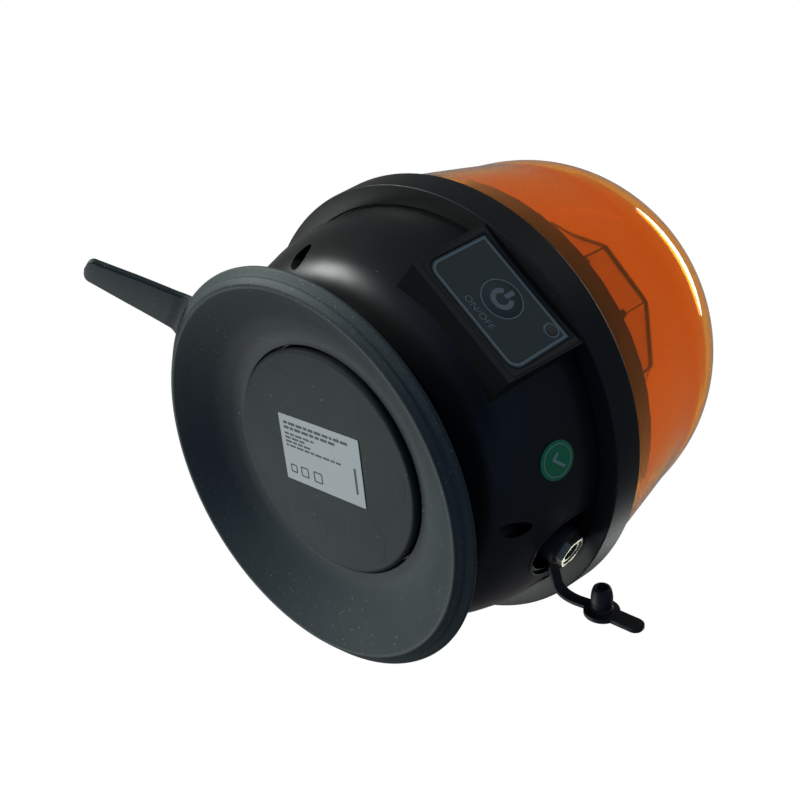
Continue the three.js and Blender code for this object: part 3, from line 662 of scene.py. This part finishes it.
def flatBand(inner, outer, height):
    # a printed line: its two edges, with a hair of thickness
    edges = ((inner, 0.0), (inner, height), (outer, height), (outer, 0.0))
    return np.stack([np.column_stack([loop, np.full(len(loop), up)]) for loop, up in edges])


def joined(name, pieces):
    # several pieces become one object
    work = bmesh.new()
    for piece in pieces:
        work.from_mesh(piece.data)
    mesh = bpy.data.meshes.new(name)
    work.to_mesh(mesh)
    work.free()
    mesh.shade_smooth()
    mesh.set_sharp_from_angle(angle=math.radians(40))
    mesh.materials.append(pieces[0].data.materials[0])
    whole = bpy.data.objects.new(name, mesh)
    scene.collection.objects.link(whole)
    for piece in pieces:
        bpy.data.objects.remove(piece)
    return whole


def bandPiece(name, inner, outer, middle, base, material, place, loop=True):
    grid = flatBand(inner + middle, outer + middle, prints["height"])
    grid[..., 2] += base
    if not loop:
        grid = capped(grid, 1)
    return surfacePiece(name, place(grid), material, loopRows=True, loopColumns=loop)


def circle(radius, start=0.0, end=360.0, count=72, closed=True):
    angle = np.radians(np.linspace(start, end, count, endpoint=not closed))
    return radius * np.stack([np.cos(angle), np.sin(angle)], -1)


def textPiece(name, words, size, material, placeMatrix, thickness):
    # plain outlined letters made a mesh before they are placed
    curve = bpy.data.curves.new(name, "FONT")
    curve.body = words
    curve.size = size * mm
    curve.align_x = "CENTER"
    curve.align_y = "CENTER"
    curve.extrude = thickness * mm
    curve.offset = -0.00002
    curve.resolution_u = 3
    letters = bpy.data.objects.new(name + "Curve", curve)
    scene.collection.objects.link(letters)
    bpy.context.view_layer.update()
    mesh = bpy.data.meshes.new_from_object(letters)
    bpy.data.objects.remove(letters)
    mesh.name = name
    mesh.transform(placeMatrix)
    mesh.materials.clear()
    mesh.materials.append(material)
    piece = bpy.data.objects.new(name, mesh)
    scene.collection.objects.link(piece)
    return piece


def buildPanel():
    block = surfacePiece("panelBlock", panelBlock(), paints["housing"], crease=50)
    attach(block, "housing")
    film = surfacePiece("panelFilm", filmPlate(), paints["film"], loopRows=True, crease=30)
    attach(film, "housing")
    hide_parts("switch_membrane")
    middle = np.array([0, button["up"] - panel["down"]])
    r = button["radius"]
    disc = turned([(0, -0.5), (r, -0.5), (r, -0.02), (r - 0.04, 0.0), (0, 0.0)], 180)
    disc[..., :2] += middle
    push = surfacePiece("buttonFilm", onPanel(disc), paints["film"], crease=30)
    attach(push, "button")
    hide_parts("power_button")
    lens = turned([(0, -4.3), (2.0, -4.3), (2.0, 0.02), (1.96, 0.03), (0, 0.03)], 72)
    dot = np.array(prints["dot"]) - [0, panel["down"]]
    lens[..., :2] += dot
    window = surfacePiece("indicatorWindow", onPanel(lens), paints["indicator"])
    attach(window, "housing")
    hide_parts("indicator_lens")
    return middle, dot


def printPanel(middle, dot):
    # border line, ring, power sign, indicator ring and two plain words
    ink = paints["ink"]
    width, height = panel["film"]
    line, inset = prints["line"], prints["inset"]
    shift = np.array([0, -panel["down"]])
    outer = cornerLoop(width - 2 * inset, height - 2 * inset, (3.6, 0.1, 0.1, 3.6), arc=12)
    inner = cornerLoop(width - 2 * inset - 2 * line, height - 2 * inset - 2 * line, (2.9, 0.1, 0.1, 2.9),
                       arc=12)
    border = bandPiece("border", inner, outer, shift, 0.0, ink, onPanel)
    small = prints["dotRadius"]
    ringLine = bandPiece("ringLine", circle(small), circle(small + prints["ring"]), dot, 0.0, ink, onPanel)
    across = Vector(panelAxes[0])
    up, out = Vector(panelAxes[1]), Vector(panelAxes[2])
    at = Vector(panelOrigin) + up * (middle[1] - 9.6) + out * 0.02
    turn = Matrix((across, up, out)).transposed().to_4x4()
    words = textPiece("words", "ON/OFF", 3.3, ink, Matrix.Translation(at * mm) @ turn, 0.02)
    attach(joined("panelPrint", [border, ringLine, words]), "housing")
    reach = button["radius"] - 0.1
    ring = bandPiece("ring", circle(reach - prints["ring"], count=120), circle(reach, count=120), middle,
                     0.0, ink, onPanel)
    gap, icon, stroke = button["gap"], button["icon"], button["stroke"]
    bow = (90 + gap, 450 - gap, 60, False)
    arc = bandPiece("arc", circle(icon - stroke, *bow), circle(icon, *bow), middle, 0.0, ink, onPanel,
                    loop=False)
    stem = cornerLoop(1.5, 3.6, (0.2,) * 4)
    bar = bandPiece("bar", stem * 0.02, stem, middle + [0, icon - 0.55], 0.0, ink, onPanel)
    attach(joined("buttonPrint", [ring, arc, bar]), "button")


panelMiddle, indicatorPlace = buildPanel()
printPanel(panelMiddle, indicatorPlace)
print("housing and switch panel made")


# lens ring, dome and what shows through it

ringEdge = 0.35  # how far the ring's corners are rounded
domeShape = {
    # radius, height above the ring's underside
    "curve": [(74.4, 4.1), (74.4, 11.5), (72.7, 25), (70.4, 41), (68.1, 57), (67.2, 65.5), (65.9, 72),
              (63.8, 78.3), (61, 84.2), (57.3, 90), (52.8, 94.8), (46.5, 99), (39, 101.9), (28, 103.4),
              (14, 103.95), (0, 104)],
    "wall": 2.4,
}


def lensRing():
    top = seam + 11
    outline = [(68.9, seam), (74.9, seam), (75.1, seam + 0.4), (76.0, top - 0.4), (75.7, top), (74.95, top),
               (74.75, top - 0.5), (74.75, seam + 2.5), (66.3, seam + 2.5), (66.3, seam + 0.8),
               (68.9, seam + 0.8)]
    piece = surfacePiece("lensRing", turned(softened(outline, ringEdge), 360), paints["ring"],
                         loopRows=True, crease=35)
    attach(piece, "housing")
    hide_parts("lens_ring")


def domeShell():
    # the outer curve up to the crown, then the same curve moved in along its normal by the wall
    outer = splined(domeShape["curve"], 110)
    outer[:, 1] += seam
    slope = np.gradient(outer, axis=0)
    normal = unit(np.stack([slope[:, 1], -slope[:, 0]], -1))
    normal[-1] = (0, 1)
    inner = outer - domeShape["wall"] * normal
    inner[:, 0] = np.maximum(inner[:, 0], 0)
    outline = np.concatenate([outer, inner[::-1]])
    outline[outer.shape[0] - 1, 0] = 0
    outline[outer.shape[0], 0] = 0
    piece = surfacePiece("domeShell", turned(outline, 256), amber, loopRows=True, crease=50)
    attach(piece, "housing")
    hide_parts("dome_lens")


lensRing()
domeShell()
nodes["inner_optic"].data.materials.clear()
nodes["inner_optic"].data.materials.append(clearOptic)
print("ring and dome made")


# suction cup, pull tab and magnetic pad

cup = {
    "outline": [(38.2, 1.9), (38.2, 9.3), (42.8, 9.3), (42.8, 7.9), (49.5, 7.9), (50, 3), (51.5, 0.3),
                (55, -2.4), (59, -4.3), (64.8, -5.8), (65.25, -6.4), (64.95, -7.1), (62.9, -8.4),
                (62.6, -9.1), (60.9, -10.5), (59.9, -10.5), (54, -5.9), (48, -1.5), (43, 1), (40, 1.9)],
    "round": [0.5, 0.2, 0.2, 0.2, 0.4, 2, 1.5, 2, 2, 0.6, 0.25, 0.5, 0.15, 0.15, 0.45, 0.45, 4, 4, 2, 0.8],
    "wave": 0.22,  # how far the soft lip wanders up and down
}


def suctionCup():
    # the turned outline, with a slow wave that grows towards the lip
    grid = turned(softened(cup["outline"], cup["round"], 6), 360)
    angle = np.arctan2(grid[..., 1], grid[..., 0])
    share = np.clip((np.hypot(grid[..., 0], grid[..., 1]) - 50) / 15, 0, 1) ** 2
    grid[..., 2] += cup["wave"] * share * (0.6 * np.sin(3 * angle + 0.7) + 0.4 * np.sin(5 * angle + 2.1))
    piece = surfacePiece("suctionCup", grid, cupRubber, loopRows=True, crease=42)
    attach(piece, "housing")
    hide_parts("suction_cup")


tab = {
    "azimuth": 177.5, "tip": 2.4,  # direction in degrees, length of the rounded tip
    # radius, height
    "path": [(60.8, -5.8), (63.0, -6.0), (65.0, -6.15), (66.6, -6.6), (68.8, -7.95), (93.2, -23.8)],
    # distance along the path, half width, thickness
    "shape": [(0, 11.8, 0.8), (2.2, 10.4, 1.0), (4.2, 9.0, 1.5), (6.2, 8.0, 2.1), (9, 7.45, 2.4),
              (22, 6.1, 2.4), (34.2, 4.6, 2.4), (38, 4.3, 2.1)],
}


def pullTab():
    # sections across the tab, wide and thin where it grows out of the lip, rounded off at the tip
    azimuth = math.radians(tab["azimuth"])
    outwards = np.array([math.cos(azimuth), math.sin(azimuth), 0])
    across = np.array([-math.sin(azimuth), math.cos(azimuth), 0])
    plan = splined(tab["path"], 120)
    path = plan[:, :1] * outwards + plan[:, 1:] * np.array([0, 0, 1])
    along = lengthAlong(path)
    shape = np.array(tab["shape"])
    half, thick = (np.interp(along, shape[:, 0], shape[:, k]) for k in (1, 2))
    end = np.clip((along - along[-1] + tab["tip"]) / tab["tip"], 0, 1)
    half = half * np.sqrt(np.maximum(1 - end ** 2.4, 0)) + 0.3
    section = cornerLoop(2, 1, (0.3,) * 4, arc=6)
    normal = np.cross(unit(np.gradient(path, axis=0)), across)
    edge = np.sign(section[:, 0]) * (1 - np.abs(section[:, 0]))
    x = half[:, None] * np.sign(section[:, 0]) - edge * thick[:, None]
    y = section[None, :, 1] * thick[:, None]
    grid = path[:, None] + x[..., None] * across + y[..., None] * normal[:, None]
    piece = surfacePiece("pullTab", capped(grid), cupRubber, crease=60)
    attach(piece, "housing")
    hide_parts("pull_tab")


pad = {
    # radius of the flat face, radius of its rounded edge, thickness
    "flat": 36.2, "round": 1.4, "height": 2.0,
    "magnets": 6, "circle": 26.0, "magnet": 8.5, "turn": 12.0, "bump": 0.05,
}


def magnetPad():
    # a flat disc with a raised round over each magnet, closed over its back
    turn = np.radians(np.linspace(8, 90, 9))
    radius = np.concatenate([np.linspace(0, pad["flat"], 120), pad["flat"] + pad["round"] * np.sin(turn)])
    edge = pad["round"] * (1 - np.cos(turn))
    rise = np.concatenate([np.zeros(120), edge])
    angle = np.linspace(0, 2 * np.pi, 360, endpoint=False)
    x, y = radius[:, None] * np.cos(angle), radius[:, None] * np.sin(angle)
    z = np.broadcast_to(rise[:, None], x.shape).copy()
    for k in range(pad["magnets"]):
        a = math.radians(pad["turn"] + 60 * k)
        away = np.hypot(x - pad["circle"] * math.cos(a), y - pad["circle"] * math.sin(a))
        swell = np.clip((pad["magnet"] + 0.5 - away) / 1.4, 0, 1)
        groove = np.exp(-(((away - pad["magnet"] - 0.6) / 0.35) ** 2))
        z += -pad["bump"] * swell * swell * (3 - 2 * swell) + 0.02 * groove
    face = np.stack([x, y, z], -1)
    back = np.stack([x[-1], y[-1], np.full(360, pad["height"])], -1)[None]
    middle = np.broadcast_to([0, 0, pad["height"]], back.shape)
    piece = surfacePiece("padFace", np.concatenate([face, back, middle]), paints["pad"], crease=50)
    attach(piece, "housing")
    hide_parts("magnet_pad")


label = {
    "size": (35.1, 23.3), "turn": -42.3, "middle": (-1.4, -1.1),
    # height of the printed face, start of the rows, gap between bars
    "face": 0.24, "left": -15.6, "space": 0.55,
}


def onLabel(grid):
    # the label's own across and up, on the pad's face, which looks down
    a = math.radians(label["turn"])
    across, up = (math.cos(a), math.sin(a), 0), (math.sin(a), -math.cos(a), 0)
    return placeBy(grid, across, up, (0, 0, -1), (*label["middle"], 0))


def ratingLabel():
    # a plain plate with rows of short bars where such a label has its lines
    width, height = label["size"]
    loop = cornerLoop(width, height, (0.5,) * 4)
    small = cornerLoop(width - 0.1, height - 0.1, (0.45,) * 4)
    plate = surfacePiece("labelPlate", onLabel(lofted([loop, loop, small], [-0.2, 0.2, label["face"]])),
                         paints["label"], crease=30)
    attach(plate, "housing")
    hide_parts("rating_label")
    rows = [(9.0, 25.5, 0.95), (7.3, 22.0, 0.95), (5.2, 12.5, 0.7), (3.8, 8.0, 0.7), (2.4, 11.5, 0.7),
            (1.0, 24.0, 0.7)]
    bars = []
    ink = paints["labelInk"]
    for up, length, tall in rows:
        at = label["left"]
        k = 0
        while at < label["left"] + length:
            long = 1.1 + 1.9 * abs(math.sin(2.3 * k + 3.1 * up))
            bar = cornerLoop(long, tall, (0.12,) * 4, arc=3)
            bars.append(bandPiece("bar", bar * 0.02, bar, np.array([at + long / 2, up]), label["face"], ink,
                                  onLabel))
            at += long + label["space"]
            k += 1
    for x, size in ((-13.6, 3.0), (-8.6, 3.6), (-2.6, 3.9)):
        frameOut = cornerLoop(size, size, (0.5,) * 4)
        frameIn = cornerLoop(size - 1.0, size - 1.0, (0.3,) * 4)
        bars.append(bandPiece("mark", frameIn, frameOut, np.array([x, -7.2]), label["face"], ink, onLabel))
    note = cornerLoop(0.9, 9.0, (0.2,) * 4)
    bars.append(bandPiece("note", note * 0.02, note, np.array([14.6, -3.0]), label["face"], ink, onLabel))
    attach(joined("labelPrint", bars), "housing")


suctionCup()
pullTab()
magnetPad()
ratingLabel()
print("cup, tab and pad made")


# charging socket and its cap

jack = {"azimuth": -20.0, "down": 10.5, "recess": 12.0, "rimWidth": 1.5, "rimDrop": 0.9}
jackTurn = math.radians(jack["azimuth"])
jackOut = np.array([math.cos(jackTurn), math.sin(jackTurn), 0])
jackAcross = np.array([-math.sin(jackTurn), math.cos(jackTurn), 0])
jackZ = seam - jack["down"]


def onJack(grid):
    return placeBy(grid, jackAcross, (0, 0, 1), jackOut, (0, 0, jackZ))


def recessRim():
    # a stepped lip that follows the U of the recess and the bowl's round wall
    half, straight = jack["recess"], np.linspace(10.15, 0, 12)[:, None]
    left = np.hstack([np.full((12, 1), -half), straight])
    angle = np.radians(np.linspace(180, 360, 60))
    arc = half * np.stack([np.cos(angle), np.sin(angle)], -1)
    path = np.concatenate([left[:-1], arc, left[::-1][1:] * [-1, 1]])
    tangent = unit(np.gradient(path, axis=0))
    inward = np.stack([-tangent[:, 1], tangent[:, 0]], -1)
    wide, drop = jack["rimWidth"], jack["rimDrop"]
    section = np.array([(-0.9, -0.6), (-0.9, 0.02), (-0.3, 0.16), (-0.02, 0.06), (0.1, -0.3), (0.15, -drop),
                        (wide - 0.2, -drop - 0.05), (wide, -drop - 0.25), (wide + 0.05, -2.4),
                        (wide + 0.05, -3.6), (-0.3, -3.6)])
    section = softened(section, 0.12, 3)
    place = path[:, None] + inward[:, None] * section[None, :, :1]
    surface = np.sqrt(bowlRadius(jackZ + place[..., 1]) ** 2 - place[..., 0] ** 2)
    grid = np.stack([place[..., 0], place[..., 1], surface + section[None, :, 1]], -1)
    piece = surfacePiece("recessRim", onJack(capped(grid)), paints["housing"], crease=35)
    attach(piece, "housing")


strap = {
    "path": [(5.2, 65.3), (8.2, 66.6), (11, 68.2), (13.4, 70), (15.4, 71.6), (16.1, 74.6), (15.6, 77.4),
             (14.4, 80.2), (12.9, 83.0)],  # across from the socket, distance from the beacon's axis
    "width": 4.0, "thickness": 1.5,
}
cap = {"middle": (11.1, 86.6), "lean": 21.0}


def inPlan(points, z=0.0):
    p = np.asarray(points, float)
    return p[:, :1] * jackAcross + p[:, 1:] * jackOut + np.array([0, 0, jackZ + z])


def capStrap():
    # a flat section carried along the strap's bend
    path = inPlan(splined(strap["path"], 70))
    section = cornerLoop(strap["width"], strap["thickness"], (0.35,) * 4, arc=4)
    piece = surfacePiece("capStrap", swept(path, section, (0, 0, 1)), paints["cap"], crease=50)
    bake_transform(piece)


def tetherCollar():
    outline = [(4.3, 62.8), (6.35, 62.8), (6.35, 68.6), (5.2, 69.0), (4.3, 68.8)]
    piece = surfacePiece("tetherCollar", onJack(turned(softened(outline, 0.4), 96)), paints["cap"],
                         loopRows=True)
    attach(piece, "housing")
    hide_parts("cap_tether")


def dustCap():
    # flange and hollow plug turned about the plug's own axis, and a flat tongue to pull
    a = math.radians(cap["lean"])
    along = -math.sin(a) * jackAcross + math.cos(a) * jackOut
    plug = -math.cos(a) * jackAcross - math.sin(a) * jackOut
    up = np.array([0, 0, 1.0])
    origin = inPlan([cap["middle"]])[0]
    outline = [(5.5, -1.6), (5.5, 0), (3.55, 0), (3.55, 0.8), (3.0, 1.1), (3.05, 2.0), (3.3, 3.0),
               (3.35, 4.6), (3.1, 6.4), (2.6, 7.9), (1.75, 8.0), (1.6, 7.0), (1.6, 3.0)]
    soft = softened(outline, [0.35, 0.35, 0.15, 0.3, 0.2, 0.5, 0.8, 1.0, 1.0, 0.5, 0.3, 0.3, 0.1], 5)
    outline = np.concatenate([[(0, -1.6)], soft, [(0, 3.0)]])
    head = surfacePiece("capPlug", placeBy(turned(outline, 72), up, along, plug, origin), paints["cap"],
                        crease=50)
    tongue = [cornerLoop(5.6 - k, 13.0 - k, (2.5,) * 4, arc=9) + [0, 7.5] for k in (0.35, 0, 0, 0.35)]
    leaf = surfacePiece("capTongue", placeBy(lofted(tongue, [-1.62, -1.35, -0.25, 0.02]), up, along, plug,
                                             origin),
                        paints["cap"], crease=60)
    whole = joined("capHead", [head, leaf])
    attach(whole, "cap")
    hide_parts("dust_cap")


recessRim()
tetherCollar()
capStrap()
dustCap()
cleanCopy("jack_nut", metals["nickel"], bevel=0.25)
cleanCopy("jack_barrel", metals["nickel"], bevel=0.15)
cleanCopy("jack_pin", metals["nickel"])
print("socket and cap made")


# inspection sticker

sticker = {"azimuth": -49.2, "down": 17.2, "lift": 0.2, "face": 0.08, "back": -0.12, "steps": 96}


def onBowl(grid):
    # (along the wall, up, out) wrapped round the bowl at the sticker's place
    z = seam - sticker["down"] + grid[..., 1] * 0.985
    r = bowlRadius(z) + sticker["lift"] + grid[..., 2]
    angle = math.radians(sticker["azimuth"]) + grid[..., 0] / bowlRadius(z)
    return np.stack([r * np.cos(angle), r * np.sin(angle), z], -1)


def checkSticker():
    # a round sheet in rings, with a tick and a thin circle printed on it
    face, back, steps = sticker["face"], sticker["back"], sticker["steps"]
    radii = (0.01, 1.5, 3, 4.5, 5.6, 5.97, 5.97, 0.01)
    heights = (face, face, face, face, face, 0.06, back, back)
    rows = [np.column_stack([circle(r, count=steps), np.full(steps, h)]) for r, h in zip(radii, heights)]
    sheet = surfacePiece("checkSheet", onBowl(np.stack(rows)), paints["sticker"], loopRows=True, crease=50)
    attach(sheet, "housing")
    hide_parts("check_sticker")
    line = np.array([(-2.3, 0.2), (-0.7, -1.6), (2.6, 2.2)])
    path = np.concatenate([np.linspace(line[0], line[1], 8), np.linspace(line[1], line[2], 14)[1:]])
    tangent = np.gradient(path, axis=0)
    side = unit(np.stack([-tangent[:, 1], tangent[:, 0]], -1))
    ink, here = paints["stickerInk"], np.zeros(2)
    tick = bandPiece("tick", path - side * 0.42, path + side * 0.42, here, face, ink, onBowl, loop=False)
    rim = bandPiece("rim", circle(4.75, count=steps), circle(5.0, count=steps), here, face, ink, onBowl)
    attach(joined("checkPrint", [tick, rim]), "housing")


checkSticker()


# pieces inside the housing and behind the lens

inside = {
    "innerBlack": ["led_drum", "led_tower", "magnet_carrier", "battery_tray", "battery_clamp",
                   "tact_switch", "jack_body"],
    "circuit": ["control_board", "switch_board"],
    "lampBoard": [f"led_module_{k}" for k in range(1, 11)],
    "cell": ["battery_cell_1", "battery_cell_2"],
    "wireRed": ["jack_lead", "battery_lead"],
    "wireBlack": ["switch_lead"],
    "white": ["button_actuator"],
    "seal": ["lens_gasket"],
}
for finish, names in inside.items():
    for name in names:
        cleanCopy(name, paints[finish], bevel=0.0 if "lead" in name else 0.12)
for name in ["keeper_plate", "centre_bolt", "centre_nut", "board_screw_1", "board_screw_2", "board_screw_3",
             "housing_screw_1", "housing_screw_2", "housing_screw_3", "tray_screw_1", "tray_screw_2"]:
    cleanCopy(name, metals["steel"], bevel=0.12)
for k in range(1, 7):
    cleanCopy(f"magnet_{k}", metals["magnet"], bevel=0.25)
print("inner pieces made")


# floor, light and camera

stageLook = {
    "tint": (0.94, 1.0, 0.975),
    "floor": (0.80, 0.80, 0.81), "floorSecond": (0.84, 0.84, 0.85), "glow": 0.42, "size": 4.0,
    "lights": [
        # name, direction in the camera's right, up and forward, distance, long and short side,
        # long direction, watts
        ("key", (-0.80, 0.58, -0.11), 0.80, (0.34, 0.24), (1, 0, 0), 4.2),
        ("low", (-0.80, -0.50, 0.20), 0.90, (0.60, 0.60), (0, 1, 0), 2.4),
        ("rim", (0.72, 0.42, 0.55), 0.85, (0.46, 0.10), (-0.42, 0.72, 0), 0.9),
        ("side", (0.61, -0.47, 0.64), 0.90, (0.18, 0.18), (1, 0, 0), 0.28),
        ("fill", (0.60, 0.78, -0.20), 0.90, (0.45, 0.45), (1, 0, 0), 0.14),
    ],
    "forward": (-0.1799, 0.7493, 0.6374),
    # what surrounds the object, from behind the camera (0) to straight ahead of it (1)
    "levels": [(0.015, (0.010, 0.012, 0.016)), (0.05, (0.05, 0.08, 0.14)), (0.10, (0.10, 0.16, 0.27)),
               (0.26, (0.07, 0.09, 0.12)), (0.60, (0.06, 0.065, 0.07)), (0.86, (0.10, 0.10, 0.105)),
               (0.99, (0.26, 0.26, 0.26))],
    "through": [(0.45, (0.30, 0.30, 0.30)), (0.90, (0.95, 0.95, 0.95))],  # what light passing the dome meets
}


def makeFloor():
    # a wide pale disc that only shows from above
    low = cadSize[0][2]
    ring = circle(stageLook["size"] / mm, count=96)
    rows = np.stack([np.column_stack([ring * k, np.full(96, low / mm - 0.2)]) for k in (1.0, 0.3, 0.001)])
    material = bpy.data.materials.new("paleFloor")
    material.use_nodes = True
    tree = material.node_tree
    shader = tree.nodes["Principled BSDF"]
    place = tree.nodes.new("ShaderNodeTexCoord").outputs["Object"]
    tone = addRange(tree, addNoise(tree, place, 3.0), 0.3, 0.7)
    tree.links.new(addMix(tree, tone, stageLook["floor"], stageLook["floorSecond"]),
                   shader.inputs["Base Color"])
    shader.inputs["Roughness"].default_value = 0.7
    shader.inputs["Emission Color"].default_value = (*stageLook["floor"], 1)
    shader.inputs["Emission Strength"].default_value = stageLook["glow"]
    side = tree.nodes.new("ShaderNodeNewGeometry")
    clear = tree.nodes.new("ShaderNodeBsdfTransparent")
    mix = tree.nodes.new("ShaderNodeMixShader")
    tree.links.new(side.outputs["Backfacing"], mix.inputs[0])
    tree.links.new(shader.outputs[0], mix.inputs[1])
    tree.links.new(clear.outputs[0], mix.inputs[2])
    tree.links.new(mix.outputs[0], tree.nodes["Material Output"].inputs["Surface"])
    floor = surfacePiece("floor", rows, material)
    if floor.data.polygons[0].normal.z < 0:
        floor.data.flip_normals()
    floor.visible_diffuse = False
    floor.visible_glossy = False
    floor.visible_transmission = False
    floor.visible_shadow = False


def addLevels(tree, value, levels):
    ramp = tree.nodes.new("ShaderNodeValToRGB")
    stops = ramp.color_ramp.elements
    stops[0].position, stops[0].color = levels[0][0], (*levels[0][1], 1)
    stops[1].position, stops[1].color = levels[-1][0], (*levels[-1][1], 1)
    for at, color in levels[1:-1]:
        stops.new(at).color = (*color, 1)
    tree.links.new(value, ramp.inputs[0])
    return ramp.outputs["Color"]


def makeWorld():
    # white for the camera, dark and bluish for reflections, and bright behind the clear dome
    world = bpy.data.worlds.new("studio")
    scene.world = world
    world.use_nodes = True
    tree = world.node_tree
    base = tree.nodes["Background"]
    direction = tree.nodes.new("ShaderNodeTexCoord").outputs["Generated"]
    along = tree.nodes.new("ShaderNodeVectorMath")
    along.operation = "DOT_PRODUCT"
    along.inputs[1].default_value = stageLook["forward"]
    tree.links.new(direction, along.inputs[0])
    ahead = addRange(tree, along.outputs["Value"], -1.0, 1.0)
    rays = tree.nodes.new("ShaderNodeLightPath")
    color = addMix(tree, rays.outputs["Is Transmission Ray"], addLevels(tree, ahead, stageLook["levels"]),
                   addLevels(tree, ahead, stageLook["through"]))
    tree.links.new(color, base.inputs["Color"])
    white = tree.nodes.new("ShaderNodeBackground")
    white.inputs["Color"].default_value = (1, 1, 1, 1)
    mix = tree.nodes.new("ShaderNodeMixShader")
    tree.links.new(rays.outputs["Is Camera Ray"], mix.inputs[0])
    tree.links.new(base.outputs[0], mix.inputs[1])
    tree.links.new(white.outputs[0], mix.inputs[2])
    tree.links.new(mix.outputs[0], tree.nodes["World Output"].inputs["Surface"])


view = {
    "place": (0.0567, -0.2608, -0.1815), "right": (0.6061, -0.4259, 0.6717), "up": (-0.7748, -0.5072, 0.3775),
    "lens": 47.25,
}


def makeCamera():
    camera = bpy.data.cameras.new("camera")
    camera.lens = view["lens"]
    camera.sensor_width = 36
    camera.clip_start = 0.01
    camera.clip_end = 50
    eye = bpy.data.objects.new("camera", camera)
    scene.collection.objects.link(eye)
    right, up = Vector(view["right"]), Vector(view["up"])
    turn = Matrix((right, up, right.cross(up))).transposed().to_4x4()
    eye.matrix_world = Matrix.Translation(view["place"]) @ turn
    scene.camera = eye


def makeLights():
    right, up, forward = Vector(view["right"]), Vector(view["up"]), Vector(stageLook["forward"])
    middle = Vector((0, 0, 0.055))
    for name, way, distance, sides, long, watts in stageLook["lights"]:
        lamp = bpy.data.lights.new(name, "AREA")
        lamp.shape = "ELLIPSE"
        lamp.size, lamp.size_y = sides
        lamp.energy = watts
        lamp.color = stageLook["tint"]
        aim = (right * way[0] + up * way[1] + forward * way[2]).normalized()
        first = right * long[0] + up * long[1] + forward * long[2]
        first = (first - aim * first.dot(aim)).normalized()
        turn = Matrix((first, aim.cross(first), aim)).transposed().to_4x4()
        piece = bpy.data.objects.new(name, lamp)
        scene.collection.objects.link(piece)
        piece.matrix_world = Matrix.Translation(middle + aim * distance) @ turn
        piece.visible_camera = False


makeFloor()
makeWorld()
makeCamera()
makeLights()
scene.view_settings.view_transform = "Standard"
print("stage made")
